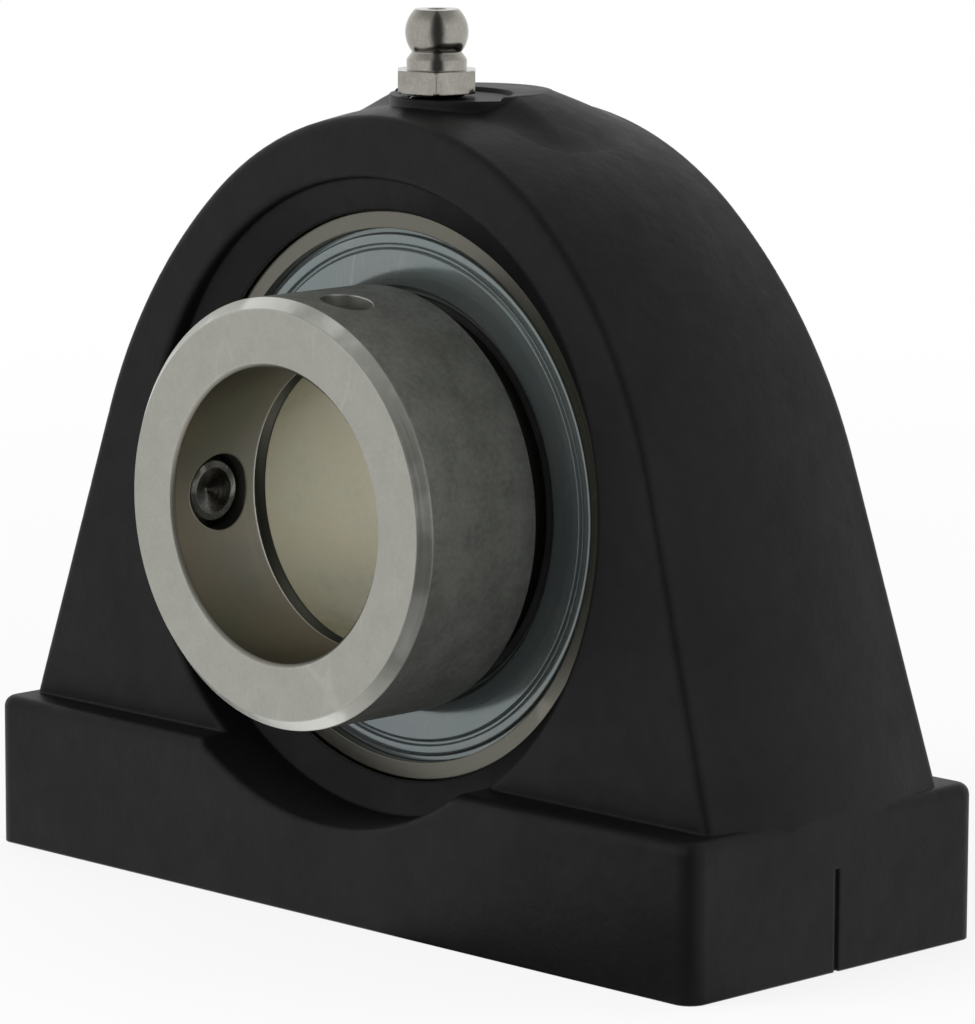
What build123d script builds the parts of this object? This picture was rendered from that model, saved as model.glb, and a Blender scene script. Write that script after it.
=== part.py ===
from build123d import *
from math import cos, radians, sin, sqrt, tan
import os

# Pillow block bearing for a 30 mm shaft: a tapped-base cast housing, a self-aligning ball bearing insert
# with an eccentric locking collar, and a grease nipple.
#
# Frame: X runs along the base, Y along the shaft with the collar on the -Y side, and Z up. The origin is
# on the underside of the base, straight below the middle of the bearing. Sizes are in millimetres.

# ---------------------------------------------------------------- bearing insert sizes
shaft_radius = 15.0
ring_wall = 3.2175  # thinnest wall of either ring, behind its raceway
ball_radius = 4.7625
ball_count = 9
ball_clearance = 0.02  # between a ball and the bottom of either raceway
raceway_relief = 0.14  # how much larger a raceway's radius is than the ball's
outer_shoulder_drop = 2.8  # from the ball centres out to the outer ring's shoulders
inner_shoulder_drop = 3.0  # from the ball centres in to the inner ring's shoulders
outer_face_chamfer = 0.35
lube_groove_width = 1.6
lube_groove_depth = 0.6
lube_hole_radius = 0.75

inner_overhang = 1.6  # the inner ring's shoulder stands this far in front of the outer ring
inner_edge_chamfer = 0.5
inner_mouth_chamfer = 1.0  # of the bore, at the collar end
cam_wall = 3.2  # between the bore and the middle of the cam's rim
cam_offset = 0.8
cam_width = 4.2

cage_sheet = 0.8
cage_gap = 0.05  # half of the joint between the two cage halves
cage_band = 3.4  # radial width of the cage
pocket_clearance = 0.1375
rivet_radius = 0.8
rivet_hole_clearance = 0.02
rivet_head_radius = 1.4
rivet_head_height = 0.6

seal_recess_step = 1.9  # from the outer ring's shoulder out to the seal recess
seal_cage_gap = 0.5
seal_setback = 0.6  # seal's rim below the face of the outer ring
inner_washer_sheet = 0.4
rubber_rim = 1.2
outer_washer_sheet = 0.6
washer_rim_width = 2.1
washer_dish_drop = 0.8
washer_flange_width = 1.9
washer_hole_clearance = 0.9  # between the washers and the inner ring
lip_clearance = 0.08

# ---------------------------------------------------------------- locking collar sizes
collar_wall = 2.7  # thinnest wall, over the recess for the cam
collar_width = 15.9
collar_gap = 0.2  # between the collar's back and the inner ring's shoulder
collar_bore_clearance = 0.1
collar_face_chamfer = 1.2
collar_edge_chamfer = 0.4
cam_clearance = 0.4
cam_end_clearance = 0.4
screw_axis_depth = 6.4  # set screw and drift hole, from the collar's front face
screw_radius = 3.9
screw_hole_clearance = 0.06
screw_length = 6.0
screw_tip_chamfer = 0.75
screw_cup_radius = 2.2
screw_cup_depth = 1.1
screw_tip_gap = 0.8  # between the screw's tip and the shaft, as delivered
screw_socket_across_flats = 4.0
screw_socket_depth = 3.0
screw_side = 180.0  # degrees from +X towards +Z
drift_hole_side = 79.0
drift_hole_radius = 2.75
drift_hole_depth = 4.5

# ---------------------------------------------------------------- housing sizes
casting_offset = 1.6  # the casting's own mid-plane lies this far behind the bearing's
seat_clearance = 0.03  # between the outer ring and its seat
seat_margin = 0.5  # the seat is this much wider than the outer ring, on each side
scoop_clearance = 2.0  # from the outer ring's sphere out to the round pocket in front and behind
scoop_depth = 1.6  # from the seat's mouth out to the foot of the pocket's straight wall
scoop_lip = 1.0  # straight wall of the front pocket where it is lowest, under the crown
scoop_edge_fillet = 0.6
floor_wall = 9.9  # under the pocket
crown_wall = 7.4  # over the pocket, at the casting's mid-plane
crown_rim = 5.7  # crown arc's radius over the pocket's
crown_half_angle = 41.3
flank_lean = 17.6  # degrees between a flank and the upright
rim_draft = 8.5  # the crown and the flanks fall away from the casting's mid-plane, both ways
rim_rounding = 80.0  # radius across the ridge that the draft would leave at the mid-plane
face_draft = 3.2  # the front and back faces lean in towards the crown
arch_fillet = 1.0
base_length = 103.4
base_height = 16.1
base_ledge = 4.1  # the base stands out this far from the arch, in front and behind
base_corner_fillet = 2.0
base_top_fillet = 1.2
slot_side_clearance = 0.3  # loading slots in the back, one on each side of the seat
slot_end_clearance = 0.1

tapped_hole_spacing = 76.2
tapped_hole_radius = 4.25  # drilled for an M10 thread
tapped_hole_depth = 18.0
tapped_hole_countersink = 1.15
centre_mark_width = 0.7
centre_mark_depth = 0.5
centre_mark_height = 10.5

# ---------------------------------------------------------------- grease nipple sizes
boss_radius = 8.6  # round boss on the middle of the crown
boss_rise = 0.85  # above the crown
boss_root = 3.0
boss_edge_fillet = 0.6
spotface_radius = 7.9
spotface_depth = 0.4
nipple_setback = 1.5  # the nipple stands this much nearer the mid-plane than the ring's grease groove
nipple_thread_radius = 3.0
nipple_thread_clearance = 0.03
nipple_thread_length = 5.0
nipple_hole_run_out = 0.6
grease_drilling_radius = 1.75
nipple_stand_off = 0.5  # the hexagon stops this far above the spotface
nipple_across_flats = 7.0
nipple_hex_height = 2.35
nipple_collar_radius = 3.1
nipple_collar_height = 1.1
nipple_neck_radius = 2.55
nipple_neck_height = 0.7
nipple_head_radius = 3.25
nipple_tip_height = 2.35  # tip above the centre of the round head
nipple_passage_radius = 0.8
nipple_mouth_radius = 0.9
check_ball_radius = 1.2
check_ball_depth = 0.15  # top of the check ball below the nipple's tip
check_ball_clearance = 0.05
chamber_clearance = 0.15  # between the check ball and the wall of its chamber
spring_wire_radius = 0.15
spring_clearance = 0.2
spring_turns = 6

# ---------------------------------------------------------------- worked-out sizes
# Radii from the shaft outwards.
inner_raceway_bottom = shaft_radius + ring_wall
ball_pitch_radius = inner_raceway_bottom + ball_clearance + ball_radius
outer_raceway_bottom = ball_pitch_radius + ball_radius + ball_clearance
sphere_radius = outer_raceway_bottom + ring_wall
raceway_radius = ball_radius + raceway_relief
inner_shoulder_radius = ball_pitch_radius - inner_shoulder_drop
outer_shoulder_radius = ball_pitch_radius + outer_shoulder_drop
seal_recess_radius = outer_shoulder_radius + seal_recess_step
cam_radius = shaft_radius + cam_wall
collar_radius = cam_radius + cam_clearance + cam_offset + collar_wall
seat_radius = sphere_radius + seat_clearance
scoop_radius = sphere_radius + scoop_clearance

# Distances along the shaft, from the mid-plane of the bearing.
pocket_radius = ball_radius + pocket_clearance
pocket_reach = pocket_radius + cage_sheet
seal_recess_floor = pocket_reach + seal_cage_gap
inner_washer_face = seal_recess_floor + inner_washer_sheet
rubber_face = inner_washer_face + rubber_rim
washer_face = rubber_face + outer_washer_sheet
outer_half_width = washer_face + seal_setback
inner_shoulder_front = outer_half_width + inner_overhang
inner_ring_front = inner_shoulder_front + cam_width
collar_back = inner_shoulder_front + collar_gap
collar_front = collar_back + collar_width
screw_axis_offset = collar_front - screw_axis_depth
seat_half_width = outer_half_width + seat_margin
seat_mouth_radius = sqrt(seat_radius**2 - seat_half_width**2)
scoop_floor = seat_half_width + scoop_depth

# The raceways' edges, and the grease groove midway between the outer one and the seal recess.
inner_raceway_centre = inner_raceway_bottom + raceway_radius
inner_raceway_edge = sqrt(raceway_radius**2 - (inner_raceway_centre - inner_shoulder_radius) ** 2)
outer_raceway_centre = outer_raceway_bottom - raceway_radius
outer_raceway_edge = sqrt(raceway_radius**2 - (outer_shoulder_radius - outer_raceway_centre) ** 2)
lube_groove_offset = (outer_raceway_edge + seal_recess_floor) / 2

# Heights above the underside of the base.
centre_height = scoop_radius + floor_wall
scoop_top = centre_height + scoop_radius
crown_height = scoop_top + crown_wall
overall_height = crown_height + boss_rise
crown_radius = scoop_radius + crown_rim
ridge_loss = rim_rounding * (1 / cos(radians(rim_draft)) - 1)  # what the rounding takes off the ridge
ridge_top = crown_height + ridge_loss

# Widths of the casting. The arch is narrowest at the crown, where its faces still clear the pockets.
arch_half_width = casting_offset + scoop_floor + scoop_lip  # at the height of the pocket's top
foot_half_width = arch_half_width + (scoop_top - base_height) * tan(radians(face_draft))
ground_half_width = foot_half_width + base_height * tan(radians(face_draft))
base_width = 2 * (foot_half_width + base_ledge)

# Shared frames. In the axial section local x is the distance along the shaft and local y the radius.
shaft_centre = Vector(0, 0, centre_height)
shaft_axis = Axis(shaft_centre, (0, 1, 0))
axial_section = Plane(origin=shaft_centre, x_dir=(0, 1, 0), z_dir=(1, 0, 0))
casting_underside = Plane(origin=(0, casting_offset, 0), z_dir=(0, 0, 1))
casting_middle = Plane(origin=(0, casting_offset, 0), x_dir=(1, 0, 0), z_dir=(0, -1, 0))
casting_cross_section = Plane(origin=(0, casting_offset, 0), x_dir=(0, 1, 0), z_dir=(1, 0, 0))
nipple_place = Vector(0, nipple_setback - lube_groove_offset, overall_height - spotface_depth)
nipple_section = Plane(origin=nipple_place, x_dir=(1, 0, 0), z_dir=(0, -1, 0))
nipple_axis = Axis(nipple_place, (0, 0, 1))


def front_plane(distance):
    """Plane across the shaft, a distance in front of the mid-plane, that looks out of the collar side."""
    return Plane(origin=(0, -distance, centre_height), x_dir=(1, 0, 0), z_dir=(0, -1, 0))


def radial_plane(radius, angle, distance):
    """Plane that looks away from the shaft, at a radius, an angle from +X and a distance in front."""
    outwards = Vector(cos(radians(angle)), 0, sin(radians(angle)))
    return Plane(origin=shaft_centre + radius * outwards - Vector(0, distance, 0), z_dir=outwards)


def save(piece, name):
    """Label a finished piece and write it to its own file."""
    piece.part.label = name
    export_step(piece.part, f"parts/{name}.step")


os.makedirs("parts", exist_ok=True)

# ---------------------------------------------------------------- housing
# At the casting's mid-plane the arch is a crown arc, a wider shoulder arc and a straight flank, each tangent
# to the next, and the flank runs down to the end of the base. The shoulder's radius follows from that.
crown_centre_height = ridge_top - crown_radius
flank_reach = base_length / 2 + ridge_loss / cos(radians(flank_lean))
flank_distance = flank_reach * cos(radians(flank_lean)) - (
    crown_centre_height - base_height
) * sin(radians(flank_lean))
shoulder_angle = 90 - crown_half_angle - flank_lean
shoulder_radius = (flank_distance - crown_radius * cos(radians(shoulder_angle))) / (
    1 - cos(radians(shoulder_angle))
)
grease_drilling_depth = overall_height - centre_height - sphere_radius / 2

with BuildPart() as base_plate:
    with BuildSketch(casting_underside):
        RectangleRounded(base_length, base_width, base_corner_fillet)
    extrude(amount=base_height)
    fillet(base_plate.edges().group_by(Axis.Z)[-1], base_top_fillet)

with BuildPart() as housing:
    with BuildSketch(casting_middle):
        with BuildLine():
            crown = JernArc((0, ridge_top), (1, 0), crown_radius, -crown_half_angle)
            shoulder = JernArc(crown @ 1, crown % 1, shoulder_radius, -shoulder_angle)
            Polyline(
                shoulder @ 1,
                (flank_reach + base_height * tan(radians(flank_lean)), 0),
                (0, 0),
                (0, ridge_top),
            )
        make_face()
        mirror(about=Plane.YZ)
    extrude(amount=base_width / 2, both=True, taper=rim_draft)
    fillet(
        housing.edges()
        .filter_by_position(Axis.Y, casting_offset, casting_offset)
        .filter_by(lambda edge: edge.bounding_box().max.Z > base_height),
        rim_rounding,
    )
    with BuildSketch(casting_cross_section):
        Trapezoid(
            2 * ground_half_width,
            ridge_top,
            90 - face_draft,
            align=(Align.CENTER, Align.MIN),
        )
    extrude(amount=base_length / 2, both=True, mode=Mode.INTERSECT)
    arch_faces = housing.faces().sort_by(Axis.Y)
    fillet(
        (arch_faces[0].edges() + arch_faces[-1].edges()).filter_by(
            lambda edge: edge.bounding_box().max.Z > base_height
        ),
        arch_fillet,
    )

    add(base_plate.part)

    # Round pockets in front and behind, with a cone that leads into the spherical seat.
    with BuildSketch(axial_section):
        with BuildLine():
            Polyline(
                (seat_half_width, 0),
                (seat_half_width, seat_mouth_radius),
                (scoop_floor, scoop_radius),
                (base_width, scoop_radius),
                (base_width, 0),
                close=True,
            )
        make_face()
        mirror(about=Plane.YZ)
    revolve(axis=shaft_axis, mode=Mode.SUBTRACT)
    scoop_walls = housing.faces().filter_by(
        lambda face: face.geom_type == GeomType.CYLINDER
        and abs(face.radius - scoop_radius) < scoop_edge_fillet / 10
    )
    scoop_edges = scoop_walls.edges().filter_by(
        lambda edge: edge.geom_type != GeomType.LINE
        and abs(edge.center(CenterOf.BOUNDING_BOX).Y) > scoop_floor + scoop_lip / 2
    )
    fillet(scoop_edges, scoop_edge_fillet)
    with Locations(shaft_centre):
        Sphere(seat_radius, mode=Mode.SUBTRACT)

    # Loading slots: the insert goes in from behind, turned sideways, and swings into its seat.
    with BuildSketch(Plane(origin=shaft_centre, x_dir=(1, 0, 0), z_dir=(0, 1, 0))):
        Circle(seat_radius + slot_end_clearance)
        Rectangle(
            2 * scoop_radius,
            2 * (outer_half_width + slot_side_clearance),
            mode=Mode.INTERSECT,
        )
    extrude(amount=base_width, mode=Mode.SUBTRACT)

    # Boss on the crown. The nipple stands nearer the collar side, so its spotface takes only the front of
    # the boss. Its threaded seat and the drilling lead down to the bearing's grease groove.
    with Locations((0, casting_offset, overall_height)):
        Cylinder(
            boss_radius,
            boss_rise + boss_root,
            align=(Align.CENTER, Align.CENTER, Align.MAX),
        )
    fillet(housing.edges().group_by(Axis.Z)[-1], boss_edge_fillet)
    with Locations(nipple_place):
        Cylinder(
            spotface_radius,
            crown_radius,
            align=(Align.CENTER, Align.CENTER, Align.MIN),
            mode=Mode.SUBTRACT,
        )
        CounterBoreHole(
            grease_drilling_radius,
            nipple_thread_radius,
            nipple_thread_length + nipple_hole_run_out,
            depth=grease_drilling_depth,
        )

    # Blind tapped holes in the underside, and the line that marks the mid-plane on both ends.
    with Locations(Plane(casting_underside.origin, x_dir=(1, 0, 0), z_dir=(0, 0, -1))):
        with GridLocations(tapped_hole_spacing, 0, 2, 1):
            CounterSinkHole(
                tapped_hole_radius,
                tapped_hole_radius + tapped_hole_countersink,
                depth=tapped_hole_depth,
            )
    with Locations(casting_underside):
        with GridLocations(base_length, 0, 2, 1):
            Box(
                2 * centre_mark_depth,
                centre_mark_width,
                centre_mark_height,
                align=(Align.CENTER, Align.CENTER, Align.MIN),
                mode=Mode.SUBTRACT,
            )
save(housing, "housing")

# ---------------------------------------------------------------- outer ring
sphere_edge = outer_half_width - outer_face_chamfer
sphere_edge_radius = sqrt(sphere_radius**2 - sphere_edge**2)
lube_groove_rim = sqrt(sphere_radius**2 - lube_groove_offset**2)

with BuildPart() as outer_ring:
    with BuildSketch(axial_section):
        with BuildLine():
            ThreePointArc(
                (-sphere_edge, sphere_edge_radius),
                (0, sphere_radius),
                (sphere_edge, sphere_edge_radius),
            )
            rear_face = Polyline(
                (sphere_edge, sphere_edge_radius),
                (outer_half_width, sphere_edge_radius - outer_face_chamfer),
                (outer_half_width, seal_recess_radius),
                (seal_recess_floor, seal_recess_radius),
                (seal_recess_floor, outer_shoulder_radius),
                (outer_raceway_edge, outer_shoulder_radius),
            )
            mirror(rear_face, about=Plane.YZ)
            ThreePointArc(
                (outer_raceway_edge, outer_shoulder_radius),
                (0, outer_raceway_bottom),
                (-outer_raceway_edge, outer_shoulder_radius),
            )
        make_face()
    revolve(axis=shaft_axis)

    # Grease groove around the sphere, with two holes that lead in beside the raceway.
    with BuildSketch(axial_section):
        with Locations((-lube_groove_offset, lube_groove_rim)):
            Rectangle(lube_groove_width, 2 * lube_groove_depth)
    revolve(axis=shaft_axis, mode=Mode.SUBTRACT)
    with Locations((0, -lube_groove_offset, centre_height)):
        Cylinder(lube_hole_radius, 2 * sphere_radius, mode=Mode.SUBTRACT)
save(outer_ring, "outer_ring")

# ---------------------------------------------------------------- inner ring
with BuildPart() as inner_ring:
    with BuildSketch(axial_section):
        with BuildLine():
            Polyline(
                (-inner_raceway_edge, inner_shoulder_radius),
                (-inner_shoulder_front, inner_shoulder_radius),
                (-inner_shoulder_front, 0),
                (outer_half_width, 0),
                (outer_half_width, inner_shoulder_radius - inner_edge_chamfer),
                (outer_half_width - inner_edge_chamfer, inner_shoulder_radius),
                (inner_raceway_edge, inner_shoulder_radius),
            )
            ThreePointArc(
                (inner_raceway_edge, inner_shoulder_radius),
                (0, inner_raceway_bottom),
                (-inner_raceway_edge, inner_shoulder_radius),
            )
        make_face()
    revolve(axis=shaft_axis)

    # Cam: a round shoulder on the collar end, set off from the shaft axis.
    with BuildSketch(front_plane(inner_shoulder_front)):
        with Locations((cam_offset, 0)):
            Circle(cam_radius)
    extrude(amount=inner_ring_front - inner_shoulder_front)

    # Bore, chamfered at both ends.
    with BuildSketch(axial_section):
        with BuildLine():
            Polyline(
                (-inner_ring_front, 0),
                (-inner_ring_front, shaft_radius + inner_mouth_chamfer),
                (-inner_ring_front + inner_mouth_chamfer, shaft_radius),
                (outer_half_width - inner_edge_chamfer, shaft_radius),
                (outer_half_width, shaft_radius + inner_edge_chamfer),
                (outer_half_width, 0),
                close=True,
            )
        make_face()
    revolve(axis=shaft_axis, mode=Mode.SUBTRACT)
save(inner_ring, "inner_ring")

# ---------------------------------------------------------------- balls
ball_planes = [radial_plane(ball_pitch_radius, 360 / ball_count * i, 0) for i in range(ball_count)]

for number, ball_plane in enumerate(ball_planes, start=1):
    with BuildPart() as ball:
        with Locations(ball_plane):
            Sphere(ball_radius)
    save(ball, f"ball_{number}")

# ---------------------------------------------------------------- cage
# Two pressed halves, mirror images of each other: a flat ring between the balls that swells into a round
# pocket over each ball. Rivets between the pockets hold the halves together.
cage_face = cage_gap + cage_sheet

with BuildPart() as cage_front:
    with Locations(*ball_planes):
        Sphere(pocket_reach)
    with BuildSketch(axial_section):
        with Locations((-cage_gap - pocket_reach / 2, ball_pitch_radius)):
            Rectangle(pocket_reach, cage_band)
    revolve(axis=shaft_axis, mode=Mode.INTERSECT)
    with BuildSketch(axial_section):
        with Locations((-cage_gap - cage_sheet / 2, ball_pitch_radius)):
            Rectangle(cage_sheet, cage_band)
    revolve(axis=shaft_axis)
    with Locations(*ball_planes):
        Sphere(pocket_radius, mode=Mode.SUBTRACT)
    with Locations(front_plane(cage_face)):
        with PolarLocations(ball_pitch_radius, ball_count, start_angle=180 / ball_count):
            Hole(rivet_radius + rivet_hole_clearance, depth=cage_sheet)
save(cage_front, "cage_front")

with BuildPart() as cage_rear:
    mirror(cage_front.part, about=Plane.XZ)
save(cage_rear, "cage_rear")

with BuildPart() as cage_rivets:
    with Locations(front_plane(0)):
        with PolarLocations(ball_pitch_radius, ball_count, start_angle=180 / ball_count):
            Cylinder(rivet_radius, cage_face, align=(Align.CENTER, Align.CENTER, Align.MIN))
    with Locations(front_plane(cage_face)):
        with PolarLocations(ball_pitch_radius, ball_count, start_angle=180 / ball_count):
            Cone(
                rivet_head_radius,
                rivet_radius,
                rivet_head_height,
                align=(Align.CENTER, Align.CENTER, Align.MIN),
            )
    mirror(about=Plane.XZ)
save(cage_rivets, "cage_rivets")

# ---------------------------------------------------------------- seals
# Each side has a rubber disc whose lip runs on the inner ring, held between two pressed washers in the
# recess of the outer ring. The outer washer is dished: a flat rim, a cone and a flat inner flange.
# The profiles give the distance from the mid-plane and the radius.
dish_back = rubber_face - washer_dish_drop
dish_face = washer_face - washer_dish_drop
washer_hole_radius = inner_shoulder_radius + washer_hole_clearance
washer_dish_radius = washer_hole_radius + washer_flange_width
washer_bend_radius = seal_recess_radius - washer_rim_width
lip_radius = inner_shoulder_radius + lip_clearance
lip_root_radius = (lip_radius + washer_hole_radius) / 2

seal_profiles = {
    "seal_inner_washer": [
        (seal_recess_floor, washer_hole_radius),
        (inner_washer_face, washer_hole_radius),
        (inner_washer_face, seal_recess_radius),
        (seal_recess_floor, seal_recess_radius),
    ],
    "seal_rubber_lip": [
        (inner_washer_face, seal_recess_radius),
        (rubber_face, seal_recess_radius),
        (rubber_face, washer_bend_radius),
        (dish_back, washer_dish_radius),
        (dish_back, washer_hole_radius),
        (dish_face, lip_root_radius),
        (dish_face, lip_radius),
        (dish_back, lip_radius),
        (inner_washer_face, lip_root_radius),
    ],
    "seal_outer_washer": [
        (rubber_face, seal_recess_radius),
        (washer_face, seal_recess_radius),
        (washer_face, washer_bend_radius),
        (dish_face, washer_dish_radius),
        (dish_face, washer_hole_radius),
        (dish_back, washer_hole_radius),
        (dish_back, washer_dish_radius),
        (rubber_face, washer_bend_radius),
    ],
}
for kind, profile in seal_profiles.items():
    with BuildPart() as rear_piece:
        with BuildSketch(axial_section):
            with BuildLine():
                Polyline(*profile, close=True)
            make_face()
        revolve(axis=shaft_axis)
    save(rear_piece, f"rear_{kind}")

    with BuildPart() as front_piece:
        mirror(rear_piece.part, about=Plane.XZ)
    save(front_piece, f"front_{kind}")

# ---------------------------------------------------------------- locking collar
# The recess in its back takes the inner ring's cam with the same offset. Turning the collar on the ring
# jams the two circles, and the set screw then holds it.
collar_bore_radius = shaft_radius + collar_bore_clearance
recess_depth = inner_ring_front + cam_end_clearance - collar_back

with BuildPart() as locking_collar:
    with BuildSketch(axial_section):
        with BuildLine():
            Polyline(
                (-collar_front, collar_bore_radius + collar_edge_chamfer),
                (-collar_front, collar_radius - collar_face_chamfer),
                (-collar_front + collar_face_chamfer, collar_radius),
                (-collar_back - collar_edge_chamfer, collar_radius),
                (-collar_back, collar_radius - collar_edge_chamfer),
                (-collar_back, collar_bore_radius),
                (-collar_front + collar_edge_chamfer, collar_bore_radius),
                close=True,
            )
        make_face()
    revolve(axis=shaft_axis)
    with BuildSketch(front_plane(collar_back)):
        with Locations((cam_offset, 0)):
            Circle(cam_radius + cam_clearance)
    extrude(amount=recess_depth, mode=Mode.SUBTRACT)
    with Locations(radial_plane(collar_radius, screw_side, screw_axis_offset)):
        Hole(screw_radius + screw_hole_clearance, depth=collar_radius)
    with Locations(radial_plane(collar_radius, drift_hole_side, screw_axis_offset)):
        Hole(drift_hole_radius, depth=drift_hole_depth)
save(locking_collar, "locking_collar")

# ---------------------------------------------------------------- set screw of the collar
screw_tip = shaft_radius + screw_tip_gap
screw_head = screw_tip + screw_length

with BuildPart() as collar_set_screw:
    with BuildSketch(radial_plane(screw_tip, screw_side, screw_axis_offset)):
        Circle(screw_radius)
    extrude(amount=screw_length)
    chamfer(collar_set_screw.edges().sort_by(Axis.X)[-1], screw_tip_chamfer)
    with BuildSketch(radial_plane(screw_head, screw_side, screw_axis_offset)):
        RegularPolygon(screw_socket_across_flats / 2, 6, major_radius=False)
    extrude(amount=-screw_socket_depth, mode=Mode.SUBTRACT)
    with Locations(radial_plane(screw_tip, screw_side, screw_axis_offset)):
        Cone(
            screw_cup_radius,
            0,
            screw_cup_depth,
            align=(Align.CENTER, Align.CENTER, Align.MIN),
            mode=Mode.SUBTRACT,
        )
save(collar_set_screw, "collar_set_screw")

# ---------------------------------------------------------------- grease nipple
# A hexagon, a short collar and a neck under a round head. The passage has a mouth that the check ball
# closes from inside, a chamber for the ball and its spring, and a narrower hole below them.
nipple_stem_radius = nipple_thread_radius - nipple_thread_clearance
nipple_hex_top = nipple_stand_off + nipple_hex_height
nipple_collar_top = nipple_hex_top + nipple_collar_height
neck_top = nipple_collar_top + nipple_neck_height
head_centre = neck_top + sqrt(nipple_head_radius**2 - nipple_neck_radius**2)
nipple_height = head_centre + nipple_tip_height
head_tip_radius = sqrt(nipple_head_radius**2 - nipple_tip_height**2)
nipple_chamber_radius = check_ball_radius + chamber_clearance
chamber_floor = -nipple_thread_length + nipple_passage_radius
check_ball_height = nipple_height - check_ball_depth - check_ball_radius
ball_seat_height = check_ball_height + sqrt(
    (check_ball_radius + check_ball_clearance) ** 2 - nipple_mouth_radius**2
)

with BuildPart() as grease_nipple:
    with BuildSketch(Plane.XY.offset(nipple_place.Z + nipple_stand_off)):
        with Locations((nipple_place.X, nipple_place.Y)):
            RegularPolygon(nipple_across_flats / 2, 6, major_radius=False)
    extrude(amount=nipple_hex_height)
    with BuildSketch(nipple_section):
        with BuildLine():
            Polyline(
                (0, nipple_height),
                (0, -nipple_thread_length),
                (nipple_stem_radius, -nipple_thread_length),
                (nipple_stem_radius, nipple_hex_top),
                (nipple_collar_radius, nipple_hex_top),
                (nipple_collar_radius, nipple_collar_top),
                (nipple_neck_radius, neck_top),
            )
            ThreePointArc(
                (nipple_neck_radius, neck_top),
                (nipple_head_radius, head_centre),
                (head_tip_radius, nipple_height),
            )
            Line((head_tip_radius, nipple_height), (0, nipple_height))
        make_face()
    revolve(axis=nipple_axis)
    with BuildSketch(nipple_section):
        with BuildLine():
            Polyline(
                (0, -nipple_thread_length),
                (nipple_passage_radius, -nipple_thread_length),
                (nipple_passage_radius, chamber_floor),
                (nipple_chamber_radius, chamber_floor),
                (nipple_chamber_radius, ball_seat_height - nipple_chamber_radius + nipple_mouth_radius),
                (nipple_mouth_radius, ball_seat_height),
                (nipple_mouth_radius, nipple_height),
                (0, nipple_height),
                close=True,
            )
        make_face()
    revolve(axis=nipple_axis, mode=Mode.SUBTRACT)
save(grease_nipple, "grease_nipple")

with BuildPart() as nipple_check_ball:
    with Locations(nipple_place + Vector(0, 0, check_ball_height)):
        Sphere(check_ball_radius)
save(nipple_check_ball, "nipple_check_ball")

spring_bottom = chamber_floor + spring_wire_radius
spring_length = check_ball_height - check_ball_radius - spring_bottom

with BuildPart() as nipple_spring:
    with BuildLine():
        coil = Helix(
            spring_length / spring_turns,
            spring_length,
            nipple_chamber_radius - spring_clearance - spring_wire_radius,
            center=nipple_place + Vector(0, 0, spring_bottom),
        )
    with BuildSketch(Plane(coil @ 0, z_dir=coil % 0)):
        Circle(spring_wire_radius)
    sweep(path=coil, is_frenet=True)
save(nipple_spring, "nipple_spring")
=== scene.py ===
"""Pillow block bearing for a 30 mm shaft, dressed and lit for a studio picture.

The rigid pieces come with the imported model. This file gives each of them its finish and adds the pieces
with finer detail: the threads of the base holes, the set screw, the rolled seal washers, the grease nipple
with its spring, and the slope round the nipple's boss. Then it sets up the floor, the lamps and the camera.
Lengths are in metres unless a name ends in _mm.
"""
import logging
import math
from dataclasses import dataclass
from enum import Enum
from typing import Any, Callable, Iterable, Sequence

import bmesh
import bpy
from mathutils import Matrix, Vector


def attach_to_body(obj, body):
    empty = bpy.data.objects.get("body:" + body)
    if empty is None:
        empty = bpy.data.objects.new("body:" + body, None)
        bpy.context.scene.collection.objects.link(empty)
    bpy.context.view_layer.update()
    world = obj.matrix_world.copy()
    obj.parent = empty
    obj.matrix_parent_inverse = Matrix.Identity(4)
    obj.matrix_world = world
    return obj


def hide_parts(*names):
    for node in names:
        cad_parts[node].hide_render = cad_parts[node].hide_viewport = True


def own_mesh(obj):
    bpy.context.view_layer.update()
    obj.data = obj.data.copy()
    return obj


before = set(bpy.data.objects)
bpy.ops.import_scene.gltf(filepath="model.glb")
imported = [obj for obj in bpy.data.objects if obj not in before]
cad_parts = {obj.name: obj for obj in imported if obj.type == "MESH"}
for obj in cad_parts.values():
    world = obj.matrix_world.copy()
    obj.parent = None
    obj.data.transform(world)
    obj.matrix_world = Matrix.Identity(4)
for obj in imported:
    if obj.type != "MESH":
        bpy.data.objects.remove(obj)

log = logging.getLogger("pillow_block")

SHAFT_HEIGHT = 0.0429
CASTING_MIDDLE = 0.0016
NIPPLE_MIDDLE = -0.003569
BASE_HOLE_SPACING = 0.0762
MM = 1000.0
EAST, NORTH, UP = Vector((1.0, 0.0, 0.0)), Vector((0.0, 1.0, 0.0)), Vector((0.0, 0.0, 1.0))
Colour = tuple[float, float, float]
Range = tuple[float, float]
Socket = bpy.types.NodeSocket
Value = Socket | float | tuple[float, ...]


class Body(Enum):
    """The moving bodies that the added pieces ride on."""

    HOUSING = "housing"
    INSERT = "insert"
    SET_SCREW = "set_screw"


class Slot(Enum):
    """Material slot names for the finishes that the added pieces share; the script doesn't use them."""

    IRON = "black_cast_iron"
    ZINC = "zinc_plated_steel"
    NICKEL = "nickel_plated_steel"
    BLACK_OXIDE = "black_oxide_steel"
    SPRING = "spring_steel"


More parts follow.
